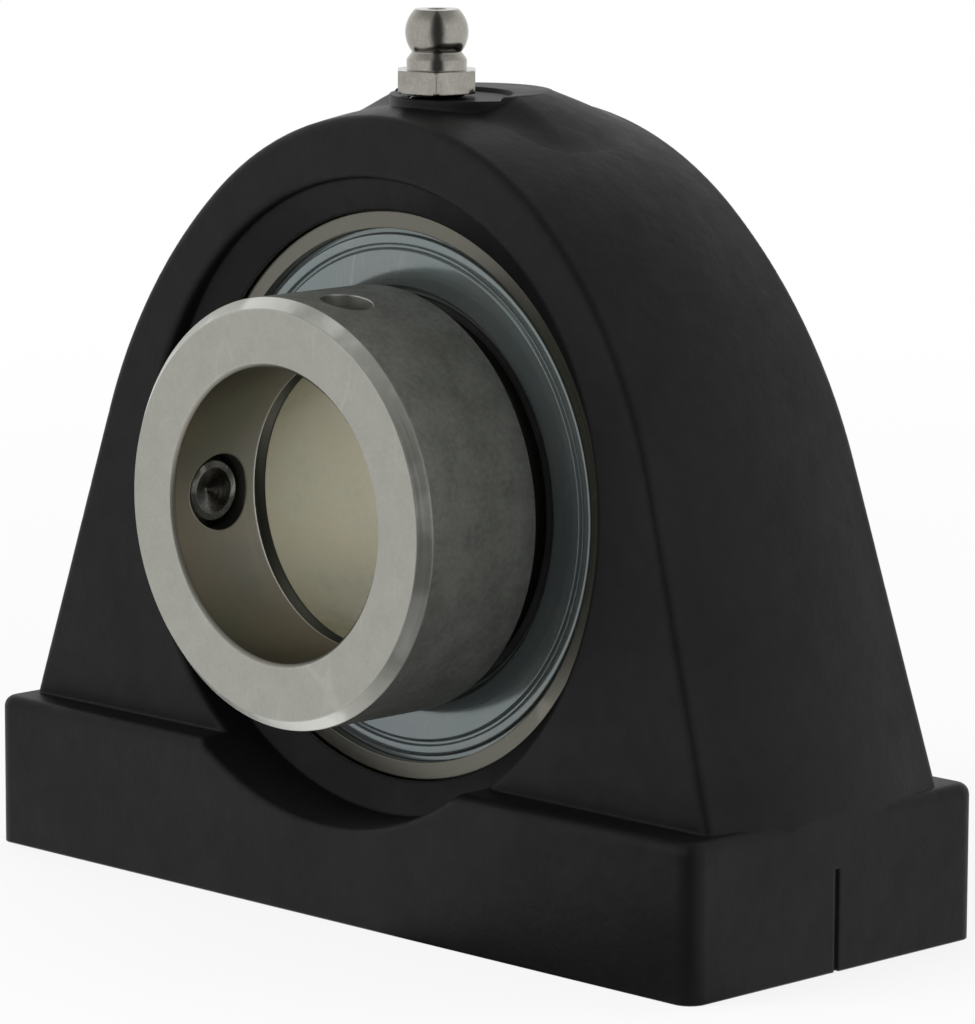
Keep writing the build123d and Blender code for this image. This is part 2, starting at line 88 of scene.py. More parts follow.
# ---------------------------------------------------------------- node graphs
class Graph:
    """Short-hand for making and linking the nodes of one node tree."""

    def __init__(self, tree: bpy.types.NodeTree) -> None:
        """Starts on an empty tree.

        Args:
            tree: The material's or group's tree, whose nodes are cleared.
        """
        self.tree = tree
        tree.nodes.clear()

    def node(
        self, kind: str, inputs: dict[str | int, Value] | None = None, **settings: Any
    ) -> bpy.types.Node:
        """Adds a node.

        Args:
            kind: The node's type name without its common prefix, such as "TexNoise".
            inputs: Values or sockets for the node's inputs, by name or index.
            **settings: Attributes of the node itself.

        Returns:
            The new node.
        """
        node = self.tree.nodes.new("ShaderNode" + kind)
        for name, value in settings.items():
            setattr(node, name, value)
        for key, value in (inputs or {}).items():
            self.feed(node.inputs[key], value)
        return node

    def feed(self, socket: Socket, value: Value) -> None:
        """Links a socket into an input, or sets the input's own value.

        Args:
            socket: The input.
            value: A socket, number, vector or colour.
        """
        if isinstance(value, bpy.types.NodeSocket):
            self.tree.links.new(value, socket)
        elif socket.type == "RGBA" and not isinstance(value, (int, float)):
            socket.default_value = (*value[:3], 1.0)
        else:
            socket.default_value = value

    def math(self, operation: str, *values: Value, clamp: bool = False) -> Socket:
        """Adds a Math node and returns its output.

        Args:
            operation: Blender's name of the operation.
            *values: Numbers or sockets.
            clamp: Whether the result is kept between 0 and 1.

        Returns:
            The result's socket.
        """
        inputs = dict(enumerate(values))
        return self.node("Math", inputs, operation=operation, use_clamp=clamp).outputs[0]

    def vector(self, operation: str, *values: Value) -> Socket:
        """Adds a Vector Math node and returns its output.

        Args:
            operation: Blender's name of the operation.
            *values: Vectors or sockets.

        Returns:
            The result's socket, a number for a length, a distance or a dot product.
        """
        node = self.node("VectorMath", dict(enumerate(values)), operation=operation)
        number = operation in ("LENGTH", "DISTANCE", "DOT_PRODUCT")
        return node.outputs["Value" if number else "Vector"]

    def place(self) -> Socket:
        """Adds the coordinates of the object itself."""
        return self.node("TexCoord").outputs["Object"]

    def noise(self, place: Socket, scale: Value, detail: float, roughness: float = 0.5) -> Socket:
        """Adds a noise texture.

        Args:
            place: Where it is read.
            scale: How fine it is.
            detail: How many finer layers it has.
            roughness: How strong these are.

        Returns:
            The noise, from 0 to 1.
        """
        inputs = {"Vector": place, "Scale": scale, "Detail": detail, "Roughness": roughness}
        return self.node("TexNoise", inputs).outputs[0]

    def ramp(
        self, value: Value, low: Value, high: Value, to_low: float = 0.0, to_high: float = 1.0
    ) -> Socket:
        """Maps a range smoothly to another, clamped at both ends.

        Args:
            value: What is mapped.
            low: The value that gives to_low.
            high: The value that gives to_high.
            to_low: Result at and below low.
            to_high: Result at and above high.

        Returns:
            The result's socket.
        """
        inputs = {"Value": value, "From Min": low, "From Max": high, "To Min": to_low, "To Max": to_high}
        return self.node("MapRange", inputs, interpolation_type="SMOOTHSTEP").outputs["Result"]

    def mix(self, factor: Value, first: Value, second: Value) -> Socket:
        """Mixes two colours.

        Args:
            factor: 0 for the first colour, 1 for the second.
            first: A colour or socket.
            second: A colour or socket.

        Returns:
            The mixed colour's socket.
        """
        return self.node("Mix", {0: factor, 6: first, 7: second}, data_type="RGBA").outputs[2]

    def tint(self, colour: Value, mask: Value, share: Value, other: Value) -> Socket:
        """Mixes a second colour in where a mask is.

        Args:
            colour: The colour outside the mask.
            mask: The mask, from 0 to 1.
            share: How much of the second colour shows where the mask is full.
            other: The second colour.

        Returns:
            The tinted colour's socket.
        """
        return self.mix(self.math("MULTIPLY", mask, share), colour, other)

    def blend(self, factor: Value, first: Value, second: Value) -> Socket:
        """Mixes two numbers.

        Args:
            factor: 0 for the first number, 1 for the second.
            first: A number or socket.
            second: A number or socket.

        Returns:
            The mixed number's socket.
        """
        return self.node("Mix", {0: factor, 2: first, 3: second}, data_type="FLOAT").outputs[0]


# ---------------------------------------------------------------- shared effects
Sockets = dict[str, Socket]


@dataclass(frozen=True)
class Effect:
    """A shader node group that several finishes share.

    Args:
        name: The group's name.
        inputs: Input names with their default values.
        outputs: Output names with their socket types.
        wire: Builds the nodes from the group's inputs to its outputs, which it returns by name.
    """

    name: str
    inputs: dict[str, float]
    outputs: dict[str, str]
    wire: Callable[[Graph, Any], Sockets]

    def group(self) -> bpy.types.NodeTree:
        """Returns the node group, built the first time it is asked for."""
        found = bpy.data.node_groups.get(self.name)
        if found:
            return found
        tree = bpy.data.node_groups.new(self.name, "ShaderNodeTree")
        for name, default in self.inputs.items():
            socket = tree.interface.new_socket(name, in_out="INPUT", socket_type=FLOAT)
            socket.default_value = default
        for name, kind in self.outputs.items():
            tree.interface.new_socket(name, in_out="OUTPUT", socket_type=kind)
        graph = Graph(tree)
        given = tree.nodes.new("NodeGroupInput").outputs
        wanted = tree.nodes.new("NodeGroupOutput").inputs
        for name, socket in self.wire(graph, given).items():
            graph.feed(wanted[name], socket)
        return tree

    def add(self, graph: Graph, **values: Value) -> Any:
        """Adds the group to a material.

        Args:
            graph: The material's graph.
            **values: The group's inputs, with spaces written as underscores.

        Returns:
            The group node's outputs.
        """
        node = graph.tree.nodes.new("ShaderNodeGroup")
        node.node_tree = self.group()
        for name, value in values.items():
            graph.feed(node.inputs[name.replace("_", " ")], value)
        return node.outputs


def wire_shaft_place(graph: Graph, given: Any) -> Sockets:
    """Distance from the shaft's axis, distance along it and angle round it, in millimetres and turns.

    Args:
        graph: The group's graph.
        given: The group's inputs.

    Returns:
        The group's outputs.
    """
    split = graph.node("SeparateXYZ", {0: graph.place()})
    height = graph.math("SUBTRACT", split.outputs["Z"], SHAFT_HEIGHT)
    flat = graph.node("CombineXYZ", {0: split.outputs["X"], 2: height}).outputs[0]
    angle = graph.math("ARCTAN2", height, split.outputs["X"])
    return {
        "Radius": graph.math("MULTIPLY", graph.vector("LENGTH", flat), MM),
        "Along": graph.math("MULTIPLY", split.outputs["Y"], MM),
        "Turn": graph.math("DIVIDE", angle, math.tau),
    }


def wire_turned_lines(graph: Graph, given: Any) -> Sockets:
    """Fine lines that a lathe or a press leaves in circles round the shaft.

    Args:
        graph: The group's graph.
        given: The group's inputs.

    Returns:
        The group's outputs.
    """
    place = SHAFT_PLACE.add(graph)
    step = graph.math("ADD", place["Radius"], place["Along"])
    angle = graph.math("MULTIPLY", place["Turn"], math.tau)
    inputs = {
        0: graph.math("COSINE", angle),
        1: graph.math("SINE", angle),
        2: graph.math("MULTIPLY", step, given["Lines per mm"]),
    }
    around = graph.node("CombineXYZ", inputs).outputs[0]
    close = graph.noise(around, 1.0, 3.0, 0.6)
    broad = graph.noise(around, 0.17, 1.0)
    return {"Lines": graph.blend(0.35, close, broad)}


def wire_mottle(graph: Graph, given: Any) -> Sockets:
    """Cloudy patches, with a finer speckle over them.

    Args:
        graph: The group's graph.
        given: The group's inputs.

    Returns:
        The group's outputs.
    """
    place = graph.place()
    cloud = graph.noise(place, given["Scale"], 4.0, 0.55)
    speckle = graph.noise(place, graph.math("MULTIPLY", given["Scale"], 7.0), 3.0)
    both = graph.blend(given["Speckle"], cloud, speckle)
    spread = graph.math("MULTIPLY", given["Softness"], 0.5)
    low, high = graph.math("SUBTRACT", 0.5, spread), graph.math("ADD", 0.5, spread)
    return {"Mask": graph.ramp(both, low, high), "Height": speckle}


def wire_scratches(graph: Graph, given: Any) -> Sockets:
    """Sparse hairline scratches in two directions.

    Args:
        graph: The group's graph.
        given: The group's inputs.

    Returns:
        The group's outputs.
    """
    place = graph.place()
    masks: list[Socket] = []
    for turn, stretch in (((0.4, 0.2, 0.9), (60.0, 1.0, 2.0)), ((1.1, 0.8, -0.5), (2.0, 45.0, 1.0))):
        inputs = {"Vector": place, "Rotation": turn, "Scale": stretch}
        noise = graph.noise(graph.node("Mapping", inputs).outputs[0], given["Scale"], 0.0)
        away = graph.math("ABSOLUTE", graph.math("SUBTRACT", noise, 0.5))
        masks.append(graph.ramp(away, 0.004, given["Width"], 1.0, 0.0))
    patch = graph.ramp(graph.noise(place, 160.0, 2.0), 0.45, 0.7)
    return {"Mask": graph.math("MULTIPLY", graph.math("MAXIMUM", *masks), patch)}


def wire_worn_edges(graph: Graph, given: Any) -> Sockets:
    """Softly rounded edges, and a mask of where they are rubbed.

    Args:
        graph: The group's graph.
        given: The group's inputs.

    Returns:
        The group's outputs.
    """
    rounded = graph.node("Bevel", {"Radius": given["Radius"]}, samples=6).outputs[0]
    true = graph.node("NewGeometry").outputs["Normal"]
    rubbed = graph.ramp(graph.vector("DOT_PRODUCT", rounded, true), 0.995, 0.86)
    broken = graph.ramp(graph.noise(graph.place(), 900.0, 4.0), 0.42, 0.62)
    return {"Mask": graph.math("MULTIPLY", rubbed, graph.blend(0.5, 1.0, broken)), "Normal": rounded}


FLOAT, VECTOR = "NodeSocketFloat", "NodeSocketVector"
SHAFT_PLACE = Effect("shaft_place", {}, {"Radius": FLOAT, "Along": FLOAT, "Turn": FLOAT}, wire_shaft_place)
TURNED_LINES = Effect("turned_lines", {"Lines per mm": 8.0}, {"Lines": FLOAT}, wire_turned_lines)
MOTTLE_INPUTS = {"Scale": 300.0, "Speckle": 0.3, "Softness": 0.4}
MOTTLE = Effect("mottle", MOTTLE_INPUTS, {"Mask": FLOAT, "Height": FLOAT}, wire_mottle)
SCRATCHES = Effect("scratches", {"Scale": 60.0, "Width": 0.02}, {"Mask": FLOAT}, wire_scratches)
WORN_EDGES = Effect("worn_edges", {"Radius": 0.0003}, {"Mask": FLOAT, "Normal": VECTOR}, wire_worn_edges)


# ---------------------------------------------------------------- studio reflections
DARK_SIDE_AZIMUTH = 48.0
DARK_SIDE_EDGE, DARK_SIDE_CORE = 34.0, 10.0
DARK_SIDE_TONE = 0.07


def dark_side(graph: Graph, direction: Value) -> Socket:
    """Mask of the dark side of the studio, a sector seen from the object.

    Args:
        graph: The graph of the world or the floor.
        direction: A vector from the object outwards.

    Returns:
        1 in the middle of the sector, 0 outside it.
    """
    level = graph.vector("NORMALIZE", graph.vector("MULTIPLY", direction, (1.0, 1.0, 0.0)))
    turn = math.radians(DARK_SIDE_AZIMUTH)
    meet = graph.vector("DOT_PRODUCT", level, (math.sin(turn), -math.cos(turn), 0.0))
    edge, core = math.cos(math.radians(DARK_SIDE_EDGE)), math.cos(math.radians(DARK_SIDE_CORE))
    return graph.ramp(meet, edge, core)


def background_rays(graph: Graph) -> tuple[Socket, Any]:
    """Finds the rays that see the background: those of the camera and those in metal and glass.

    Args:
        graph: The graph of the world or the floor.

    Returns:
        1 for such rays and 0 for others, and the Light Path node's outputs.
    """
    rays = graph.node("LightPath").outputs
    seen = graph.math("MAXIMUM", rays["Is Camera Ray"], rays["Is Glossy Ray"])
    return graph.math("MAXIMUM", seen, rays["Is Transmission Ray"]), rays


# ---------------------------------------------------------------- finishes
LINE_CONTRAST: Range = (0.3, 0.7)


@dataclass(frozen=True)
class Finish:
    """What every finish has: a name, and most of them a Principled shader with its constant values."""

    name: str

    def blank(self) -> tuple[bpy.types.Material, Graph]:
        """Makes the material with an empty graph."""
        material = bpy.data.materials.new(self.name)
        material.use_nodes = True
        return material, Graph(material.node_tree)

    def start(self, **constants: float) -> tuple[bpy.types.Material, Graph, bpy.types.Node]:
        """Makes the material with its shader and output.

        Args:
            **constants: Values for the shader's own sockets, with spaces written as underscores.

        Returns:
            The material, its graph and its shader.
        """
        material, graph = self.blank()
        inputs = {name.replace("_", " "): value for name, value in constants.items()}
        shader = graph.node("BsdfPrincipled", inputs)
        graph.node("OutputMaterial", {"Surface": shader.outputs[0]})
        return material, graph, shader

    def bump(self, graph: Graph, height: Value, depth: float, normal: Value | None = None) -> Socket:
        """Adds a Bump node.

        Args:
            graph: The material's graph.
            height: The height map, from 0 to 1.
            depth: How deep it goes, in metres.
            normal: The normal that it starts from.

        Returns:
            The bumped normal.
        """
        inputs: dict[str | int, Value] = {"Height": height, "Distance": depth, "Strength": 1.0}
        if normal is not None:
            inputs["Normal"] = normal
        return graph.node("Bump", inputs).outputs[0]


@dataclass(frozen=True)
class BlackPaint(Finish):
    """Satin black paint over cast iron, left off the machined seat, the underside and the threads."""

    name: str = "black_paint"
    dark: Colour = (0.003, 0.003, 0.0032)
    light: Colour = (0.0054, 0.0054, 0.0057)
    rubbed: Colour = (0.022, 0.022, 0.023)
    wear: float = 0.25
    iron: Colour = (0.23, 0.22, 0.205)
    iron_dull: Colour = (0.161, 0.154, 0.1435)
    satin: Range = (0.5, 0.42)
    machined: Range = (0.3, 0.45)
    grain_depth: float = 0.00003
    swell_depth: float = 0.00012
    seat_radius: float = 0.03105
    hole_radius: float = 0.0043
    hole_top: float = 0.0195
    underside: float = 0.00008

    def material(self) -> bpy.types.Material:
        """Builds the paint and the machined iron under it."""
        material, graph, shader = self.start(Specular_IOR_Level=0.16)
        place = graph.place()
        clouds = MOTTLE.add(graph, Scale=70.0, Speckle=0.35, Softness=0.5)
        grain = graph.noise(place, 1500.0, 5.0, 0.6)
        swell = graph.noise(place, 190.0, 2.0)
        edges = WORN_EDGES.add(graph, Radius=0.0005)
        paint = graph.mix(clouds["Mask"], self.dark, self.light)
        paint = graph.tint(paint, edges["Mask"], self.wear, self.rubbed)
        lines = TURNED_LINES.add(graph, Lines_per_mm=5.0)["Lines"]
        bare = self.bare(graph, place)
        iron = graph.mix(lines, self.iron_dull, self.iron)
        graph.feed(shader.inputs["Base Color"], graph.mix(bare, paint, iron))
        graph.feed(shader.inputs["Metallic"], bare)
        satin = graph.ramp(clouds["Mask"], 0.0, 1.0, *self.satin)
        machined = graph.ramp(lines, *LINE_CONTRAST, *self.machined)
        graph.feed(shader.inputs["Roughness"], graph.blend(bare, satin, machined))
        skin = self.bump(graph, swell, self.swell_depth, edges["Normal"])
        graph.feed(shader.inputs["Normal"], self.bump(graph, grain, self.grain_depth, skin))
        return material

    def bare(self, graph: Graph, place: Socket) -> Socket:
        """Mask of the machined places: the spherical seat, the underside and the tapped holes.

        Args:
            graph: The material's graph.
            place: Object coordinates.

        Returns:
            The mask.
        """
        reach = graph.vector("DISTANCE", place, (0.0, 0.0, SHAFT_HEIGHT))
        seat = graph.math("LESS_THAN", reach, self.seat_radius)
        split = graph.node("SeparateXYZ", {0: place})
        under = graph.math("LESS_THAN", split.outputs["Z"], self.underside)
        side = graph.math("SUBTRACT", graph.math("ABSOLUTE", split.outputs["X"]), BASE_HOLE_SPACING / 2)
        behind = graph.math("SUBTRACT", split.outputs["Y"], CASTING_MIDDLE)
        off = graph.vector("LENGTH", graph.node("CombineXYZ", {0: side, 1: behind}).outputs[0])
        near = graph.math("LESS_THAN", off, self.hole_radius)
        hole = graph.math("MULTIPLY", near, graph.math("LESS_THAN", split.outputs["Z"], self.hole_top))
        return graph.math("MAXIMUM", graph.math("MAXIMUM", seat, under), hole)


@dataclass(frozen=True)
class TurnedCollar(Finish):
    """Bright turned faces, a dark mottled rim and an oiled bore, with painted highlights on the front
    chamfer, the hole walls and the bore's lip.
    """

    name: str = "turned_collar"
    face: Colour = (0.40, 0.40, 0.358)
    face_dull: Colour = (0.315, 0.315, 0.28)
    rim: Colour = (0.08, 0.084, 0.074)
    rim_light: Colour = (0.148, 0.152, 0.138)
    bore: Colour = (0.19, 0.192, 0.158)
    stain: Colour = (0.235, 0.205, 0.168)
    # Bare bright metal for scratches and worn edges, and also the colour of the painted highlights
    bare_metal_and_glint: Colour = (0.75, 0.75, 0.71)
    scratching: float = 0.1
    wear: float = 0.5
    hole_bare_and_glint: float = 0.5
    lip_highlight_share: float = 0.7
    chamfer_glint_share: Range = (0.15, 0.9)
    rim_metallic: float = 0.45
    face_roughness: Range = (0.34, 0.46)
    rim_roughness: Range = (0.62, 0.5)
    bore_roughness: Range = (0.3, 0.42)
    rim_mm: Range = (22.04, 22.08)
    bore_mm: Range = (15.4, 15.2)
    lip_highlight_mm: Range = (-15.5, -15.2)
    chamfer_mm: Range = (20.9, 21.05)
    hole_wall_mm: Range = (18.5, 19.0)
    behind_face_mm: Range = (-25.1, -24.8)
    line_depth: float = 0.000006
    pit_depth: float = 0.00004

    def material(self) -> bpy.types.Material:
        """Builds the collar's finish, told apart by the distance from the shaft."""
        material, graph, shader = self.start()
        place = SHAFT_PLACE.add(graph)
        lines = TURNED_LINES.add(graph, Lines_per_mm=9.0)["Lines"]
        patches = MOTTLE.add(graph, Scale=260.0, Speckle=0.4, Softness=0.5)
        stains = MOTTLE.add(graph, Scale=70.0, Speckle=0.1, Softness=0.3)
        bloom = MOTTLE.add(graph, Scale=420.0, Speckle=0.5, Softness=0.5)
        marks = SCRATCHES.add(graph, Scale=75.0)["Mask"]
        edges = WORN_EDGES.add(graph, Radius=0.00025)
        rim = graph.ramp(place["Radius"], *self.rim_mm)
        bore = graph.ramp(place["Radius"], *self.bore_mm)
        # Painted highlight: a thin light line at the back end of the collar's bore
        lip = graph.ramp(place["Along"], *self.lip_highlight_mm)
        chamfer = graph.ramp(place["Radius"], *self.chamfer_mm)
        # Hole walls near the collar's outside: bare drilled metal, brightened further as a painted highlight
        drilled_and_glint = graph.math(
            "MULTIPLY",
            graph.ramp(place["Along"], *self.behind_face_mm),
            graph.ramp(place["Radius"], *self.hole_wall_mm),
        )
        # Painted highlight: the front chamfer is brightened towards bare metal in patches
        rubbed = graph.ramp(stains["Mask"], 0.2, 1.0, *self.chamfer_glint_share)
        face = graph.mix(graph.blend(0.5, lines, bloom["Mask"]), self.face_dull, self.face)
        face = graph.tint(face, marks, self.scratching, self.bare_metal_and_glint)
        face = graph.tint(face, edges["Mask"], self.wear, self.bare_metal_and_glint)
        # painted highlight on the chamfer
        face = graph.tint(face, chamfer, rubbed, self.bare_metal_and_glint)
        face = graph.tint(face, drilled_and_glint, self.hole_bare_and_glint, self.bare_metal_and_glint)
        side = graph.mix(patches["Mask"], self.rim, self.rim_light)
        side = graph.tint(side, edges["Mask"], self.wear, self.face)
        inside = graph.mix(stains["Mask"], self.bore, self.stain)
        # painted highlight on the bore's lip
        inside = graph.tint(inside, lip, self.lip_highlight_share, self.bare_metal_and_glint)
        graph.feed(shader.inputs["Base Color"], graph.mix(bore, graph.mix(rim, face, side), inside))
        graph.feed(shader.inputs["Metallic"], graph.blend(rim, 1.0, self.rim_metallic))
        smooth = graph.ramp(lines, *LINE_CONTRAST, *self.face_roughness)
        rough = graph.ramp(patches["Mask"], 0.0, 1.0, *self.rim_roughness)
        inner = graph.ramp(lines, *LINE_CONTRAST, *self.bore_roughness)
        graph.feed(shader.inputs["Roughness"], graph.blend(bore, graph.blend(rim, smooth, rough), inner))
        turned = self.bump(graph, lines, self.line_depth, edges["Normal"])
        pitted = self.bump(graph, patches["Height"], self.pit_depth, turned)
        shift = graph.node("Mix", {0: rim, 4: turned, 5: pitted}, data_type="VECTOR").outputs[1]
        graph.feed(shader.inputs["Normal"], shift)
        return material


@dataclass(frozen=True)
class GroundSteel(Finish):
    """Ground ring steel with a thin film of old oil in the bore, and painted shade at the bore's front mouth.
    """

    name: str = "ground_steel"
    steel: Colour = (0.168, 0.164, 0.14)
    dull: Colour = (0.125, 0.122, 0.102)
    film: Colour = (0.47, 0.44, 0.33)
    film_dark: Colour = (0.30, 0.295, 0.222)
    mouth_shade: Colour = (0.085, 0.085, 0.068)
    scratched: Colour = (0.4, 0.39, 0.35)
    scratching: float = 0.2
    steel_roughness: Range = (0.26, 0.38)
    film_roughness: Range = (0.36, 0.5)
    bore_mm: Range = (15.12, 15.04)
    mouth_radius_mm: float = 15.92
    mouth_start_mm: float = -13.78
    line_depth: float = 0.000004

    def material(self) -> bpy.types.Material:
        """Builds the ring steel, with the oiled bore told apart by its radius."""
        material, graph, shader = self.start(Metallic=1.0)
        place = SHAFT_PLACE.add(graph)
        lines = TURNED_LINES.add(graph, Lines_per_mm=12.0)["Lines"]
        patches = MOTTLE.add(graph, Scale=150.0, Speckle=0.3, Softness=0.45)
        marks = SCRATCHES.add(graph, Scale=70.0)["Mask"]
        edges = WORN_EDGES.add(graph, Radius=0.0002)
        bore = graph.ramp(place["Radius"], *self.bore_mm)
        steel = graph.mix(lines, self.dull, self.steel)
        steel = graph.tint(steel, marks, self.scratching, self.scratched)
        film = graph.mix(patches["Mask"], self.film_dark, self.film)
        # Painted shade: the mouth of the bore, deep inside the collar, is darkened
        inside = graph.math("LESS_THAN", place["Radius"], self.mouth_radius_mm)
        mouth = graph.math("MULTIPLY", inside, graph.math("LESS_THAN", place["Along"], self.mouth_start_mm))
        colour = graph.mix(mouth, graph.mix(bore, steel, film), self.mouth_shade)
        graph.feed(shader.inputs["Base Color"], colour)
        smooth = graph.ramp(lines, *LINE_CONTRAST, *self.steel_roughness)
        oiled = graph.ramp(patches["Mask"], 0.0, 1.0, *self.film_roughness)
        graph.feed(shader.inputs["Roughness"], graph.blend(bore, smooth, oiled))
        graph.feed(shader.inputs["Normal"], self.bump(graph, lines, self.line_depth, edges["Normal"]))
        return material


@dataclass(frozen=True)
class ZincPlate(Finish):
    """Bright zinc with a bluish passivation that drifts in hue."""

    name: str = "zinc_plate"
    blue: Colour = (0.175, 0.205, 0.216)
    green: Colour = (0.172, 0.212, 0.198)
    grey: Colour = (0.215, 0.213, 0.214)
    greying: float = 0.45
    scratched: Colour = (0.4, 0.41, 0.4)
    scratching: float = 0.25
    roughness: Range = (0.11, 0.19)
    line_depth: float = 0.000003

    def material(self) -> bpy.types.Material:
        """Builds the plating."""
        material, graph, shader = self.start(Metallic=0.72)
        drift = MOTTLE.add(graph, Scale=38.0, Speckle=0.1, Softness=0.5)
        patches = MOTTLE.add(graph, Scale=160.0, Speckle=0.35, Softness=0.5)
        lines = TURNED_LINES.add(graph, Lines_per_mm=6.0)["Lines"]
        marks = SCRATCHES.add(graph, Scale=55.0)["Mask"]
        edges = WORN_EDGES.add(graph, Radius=0.00015)
        hue = graph.mix(drift["Mask"], self.blue, self.green)
        colour = graph.mix(graph.ramp(patches["Mask"], 0.0, 1.0, 0.0, self.greying), hue, self.grey)
        colour = graph.tint(colour, marks, self.scratching, self.scratched)
        graph.feed(shader.inputs["Base Color"], colour)
        graph.feed(shader.inputs["Roughness"], graph.ramp(lines, *LINE_CONTRAST, *self.roughness))
        graph.feed(shader.inputs["Normal"], self.bump(graph, lines, self.line_depth, edges["Normal"]))
        return material


@dataclass(frozen=True)
class SealRubber(Finish):
    """Dark moulded rubber with a fine bloom."""

    name: str = "seal_rubber"
    dark: Colour = (0.012, 0.012, 0.012)
    bloom: Colour = (0.03, 0.03, 0.032)
    roughness: Range = (0.5, 0.68)
    grain_depth: float = 0.00002

    def material(self) -> bpy.types.Material:
        """Builds the rubber."""
        material, graph, shader = self.start(Specular_IOR_Level=0.35)
        patches = MOTTLE.add(graph, Scale=260.0, Speckle=0.5, Softness=0.6)
        graph.feed(shader.inputs["Base Color"], graph.mix(patches["Mask"], self.dark, self.bloom))
        graph.feed(shader.inputs["Roughness"], graph.ramp(patches["Mask"], 0.0, 1.0, *self.roughness))
        graph.feed(shader.inputs["Normal"], self.bump(graph, patches["Height"], self.grain_depth))
        return material


@dataclass(frozen=True)
class BrightMetal(Finish):
    """Plated, drawn or polished metal in one hue, with patches, hairlines and rubbed edges, and if asked a
    dark band below a height for grease and painted shade.
    """

    light: Colour = (0.6, 0.6, 0.57)
    dark: Colour = (0.45, 0.45, 0.42)
    smoothest: float = 0.15
    roughest: float = 0.28
    patch_scale: float = 350.0
    bump_depth: float = 0.000004
    edge_radius: float = 0.00015
    hairlines: float = 0.3
    gain: float = 1.4
    grease_and_shade_below: float = -1.0
    # Dark below the given height: grease on the thread and painted shade in the gap under the hexagon
    grease: Colour = (0.012, 0.012, 0.011)

    def material(self) -> bpy.types.Material:
        """Builds the metal."""
        material, graph, shader = self.start(Metallic=1.0)
        patches = MOTTLE.add(graph, Scale=self.patch_scale, Speckle=0.35, Softness=0.5)
        marks = SCRATCHES.add(graph, Scale=110.0)["Mask"]
        edges = WORN_EDGES.add(graph, Radius=self.edge_radius)
        colour = graph.mix(patches["Mask"], self.dark, self.light)
        bright = tuple(min(1.0, self.gain * part) for part in self.light)
        colour = graph.tint(colour, marks, self.hairlines, bright)
        colour = graph.tint(colour, edges["Mask"], self.hairlines, bright)
        # grease and painted shade below a height
        if self.grease_and_shade_below > 0.0:
            height = graph.node("SeparateXYZ", {0: graph.place()}).outputs["Z"]
            colour = graph.mix(graph.math("LESS_THAN", height, self.grease_and_shade_below), colour, self.grease)
        graph.feed(shader.inputs["Base Color"], colour)
        rough = graph.ramp(patches["Mask"], 0.0, 1.0, self.roughest, self.smoothest)
        graph.feed(shader.inputs["Roughness"], rough)
        pitted = self.bump(graph, patches["Height"], self.bump_depth, edges["Normal"])
        graph.feed(shader.inputs["Normal"], pitted)
        return material


@dataclass(frozen=True)
class PaleFloor(Finish):
    """A plain pale floor that looks nearly white to the camera and keeps the object's shadow.

    Args:
        colour: The floor's colour.
        dulled: Brightness of its duller patches, as a share of the colour.
        near_glow: How white the floor looks at the distance near from its middle; from far on it is white.
    """

    name: str = "pale_floor"
    colour: Colour = (0.86, 0.86, 0.86)
    dulled: float = 0.985
    near_glow: float = 0.82
    near: float = 0.1
    far: float = 0.5

    def material(self) -> bpy.types.Material:
        """Builds the floor: diffuse, mixed with plain white for the rays that see the background."""
        material, graph = self.blank()
        place = graph.place()
        duller = tuple(self.dulled * part for part in self.colour)
        tone = graph.mix(graph.noise(place, 3.0, 2.0), self.colour, duller)
        plain = graph.node("BsdfDiffuse", {"Color": tone}).outputs[0]
        seen, rays = background_rays(graph)
        dark = graph.math("MULTIPLY", dark_side(graph, place), rays["Is Glossy Ray"])
        strength = graph.blend(dark, 1.0, DARK_SIDE_TONE)
        white = graph.node("Emission", {"Color": (1.0, 1.0, 1.0), "Strength": strength}).outputs[0]
        glow = graph.ramp(graph.vector("LENGTH", place), self.near, self.far, self.near_glow, 1.0)
        factor = graph.math("MAXIMUM", graph.math("MULTIPLY", seen, glow), dark)
        mixed = graph.node("MixShader", {0: factor, 1: plain, 2: white}).outputs[0]
        graph.node("OutputMaterial", {"Surface": mixed})
        return material


# ---------------------------------------------------------------- meshes
Ring = list[Vector]


def circle(centre: Vector, right: Vector, up: Vector, radii: Iterable[float]) -> Ring:
    """Places points at even steps round a centre.

    Args:
        centre: The middle.
        right: Direction of the first point.
        up: Direction of the point a quarter turn further.
        radii: The distance of each point from the centre.

    Returns:
        The points.
    """
    reaches = list(radii)
    angles = (math.tau * step / len(reaches) for step in range(len(reaches)))
    return [
        centre + reach * (math.cos(angle) * right + math.sin(angle) * up)
        for angle, reach in zip(angles, reaches)
    ]


def skin(mesh: bmesh.types.BMesh, rings: Sequence[Ring], closed: bool) -> list[list[bmesh.types.BMVert]]:
    """Joins rings of equal length with quads.

    Args:
        mesh: The mesh that gets them.
        rings: The rings, in order along the surface.
        closed: Whether the last ring joins the first.

    Returns:
        The vertices of each ring.
    """
    loops = [[mesh.verts.new(point) for point in ring] for ring in rings]
    count = len(rings[0])
    for first, second in list(zip(loops, loops[1:])) + ([(loops[-1], loops[0])] if closed else []):
        for i in range(count):
            j = (i + 1) % count
            mesh.faces.new((first[i], first[j], second[j], second[i]))
    return loops


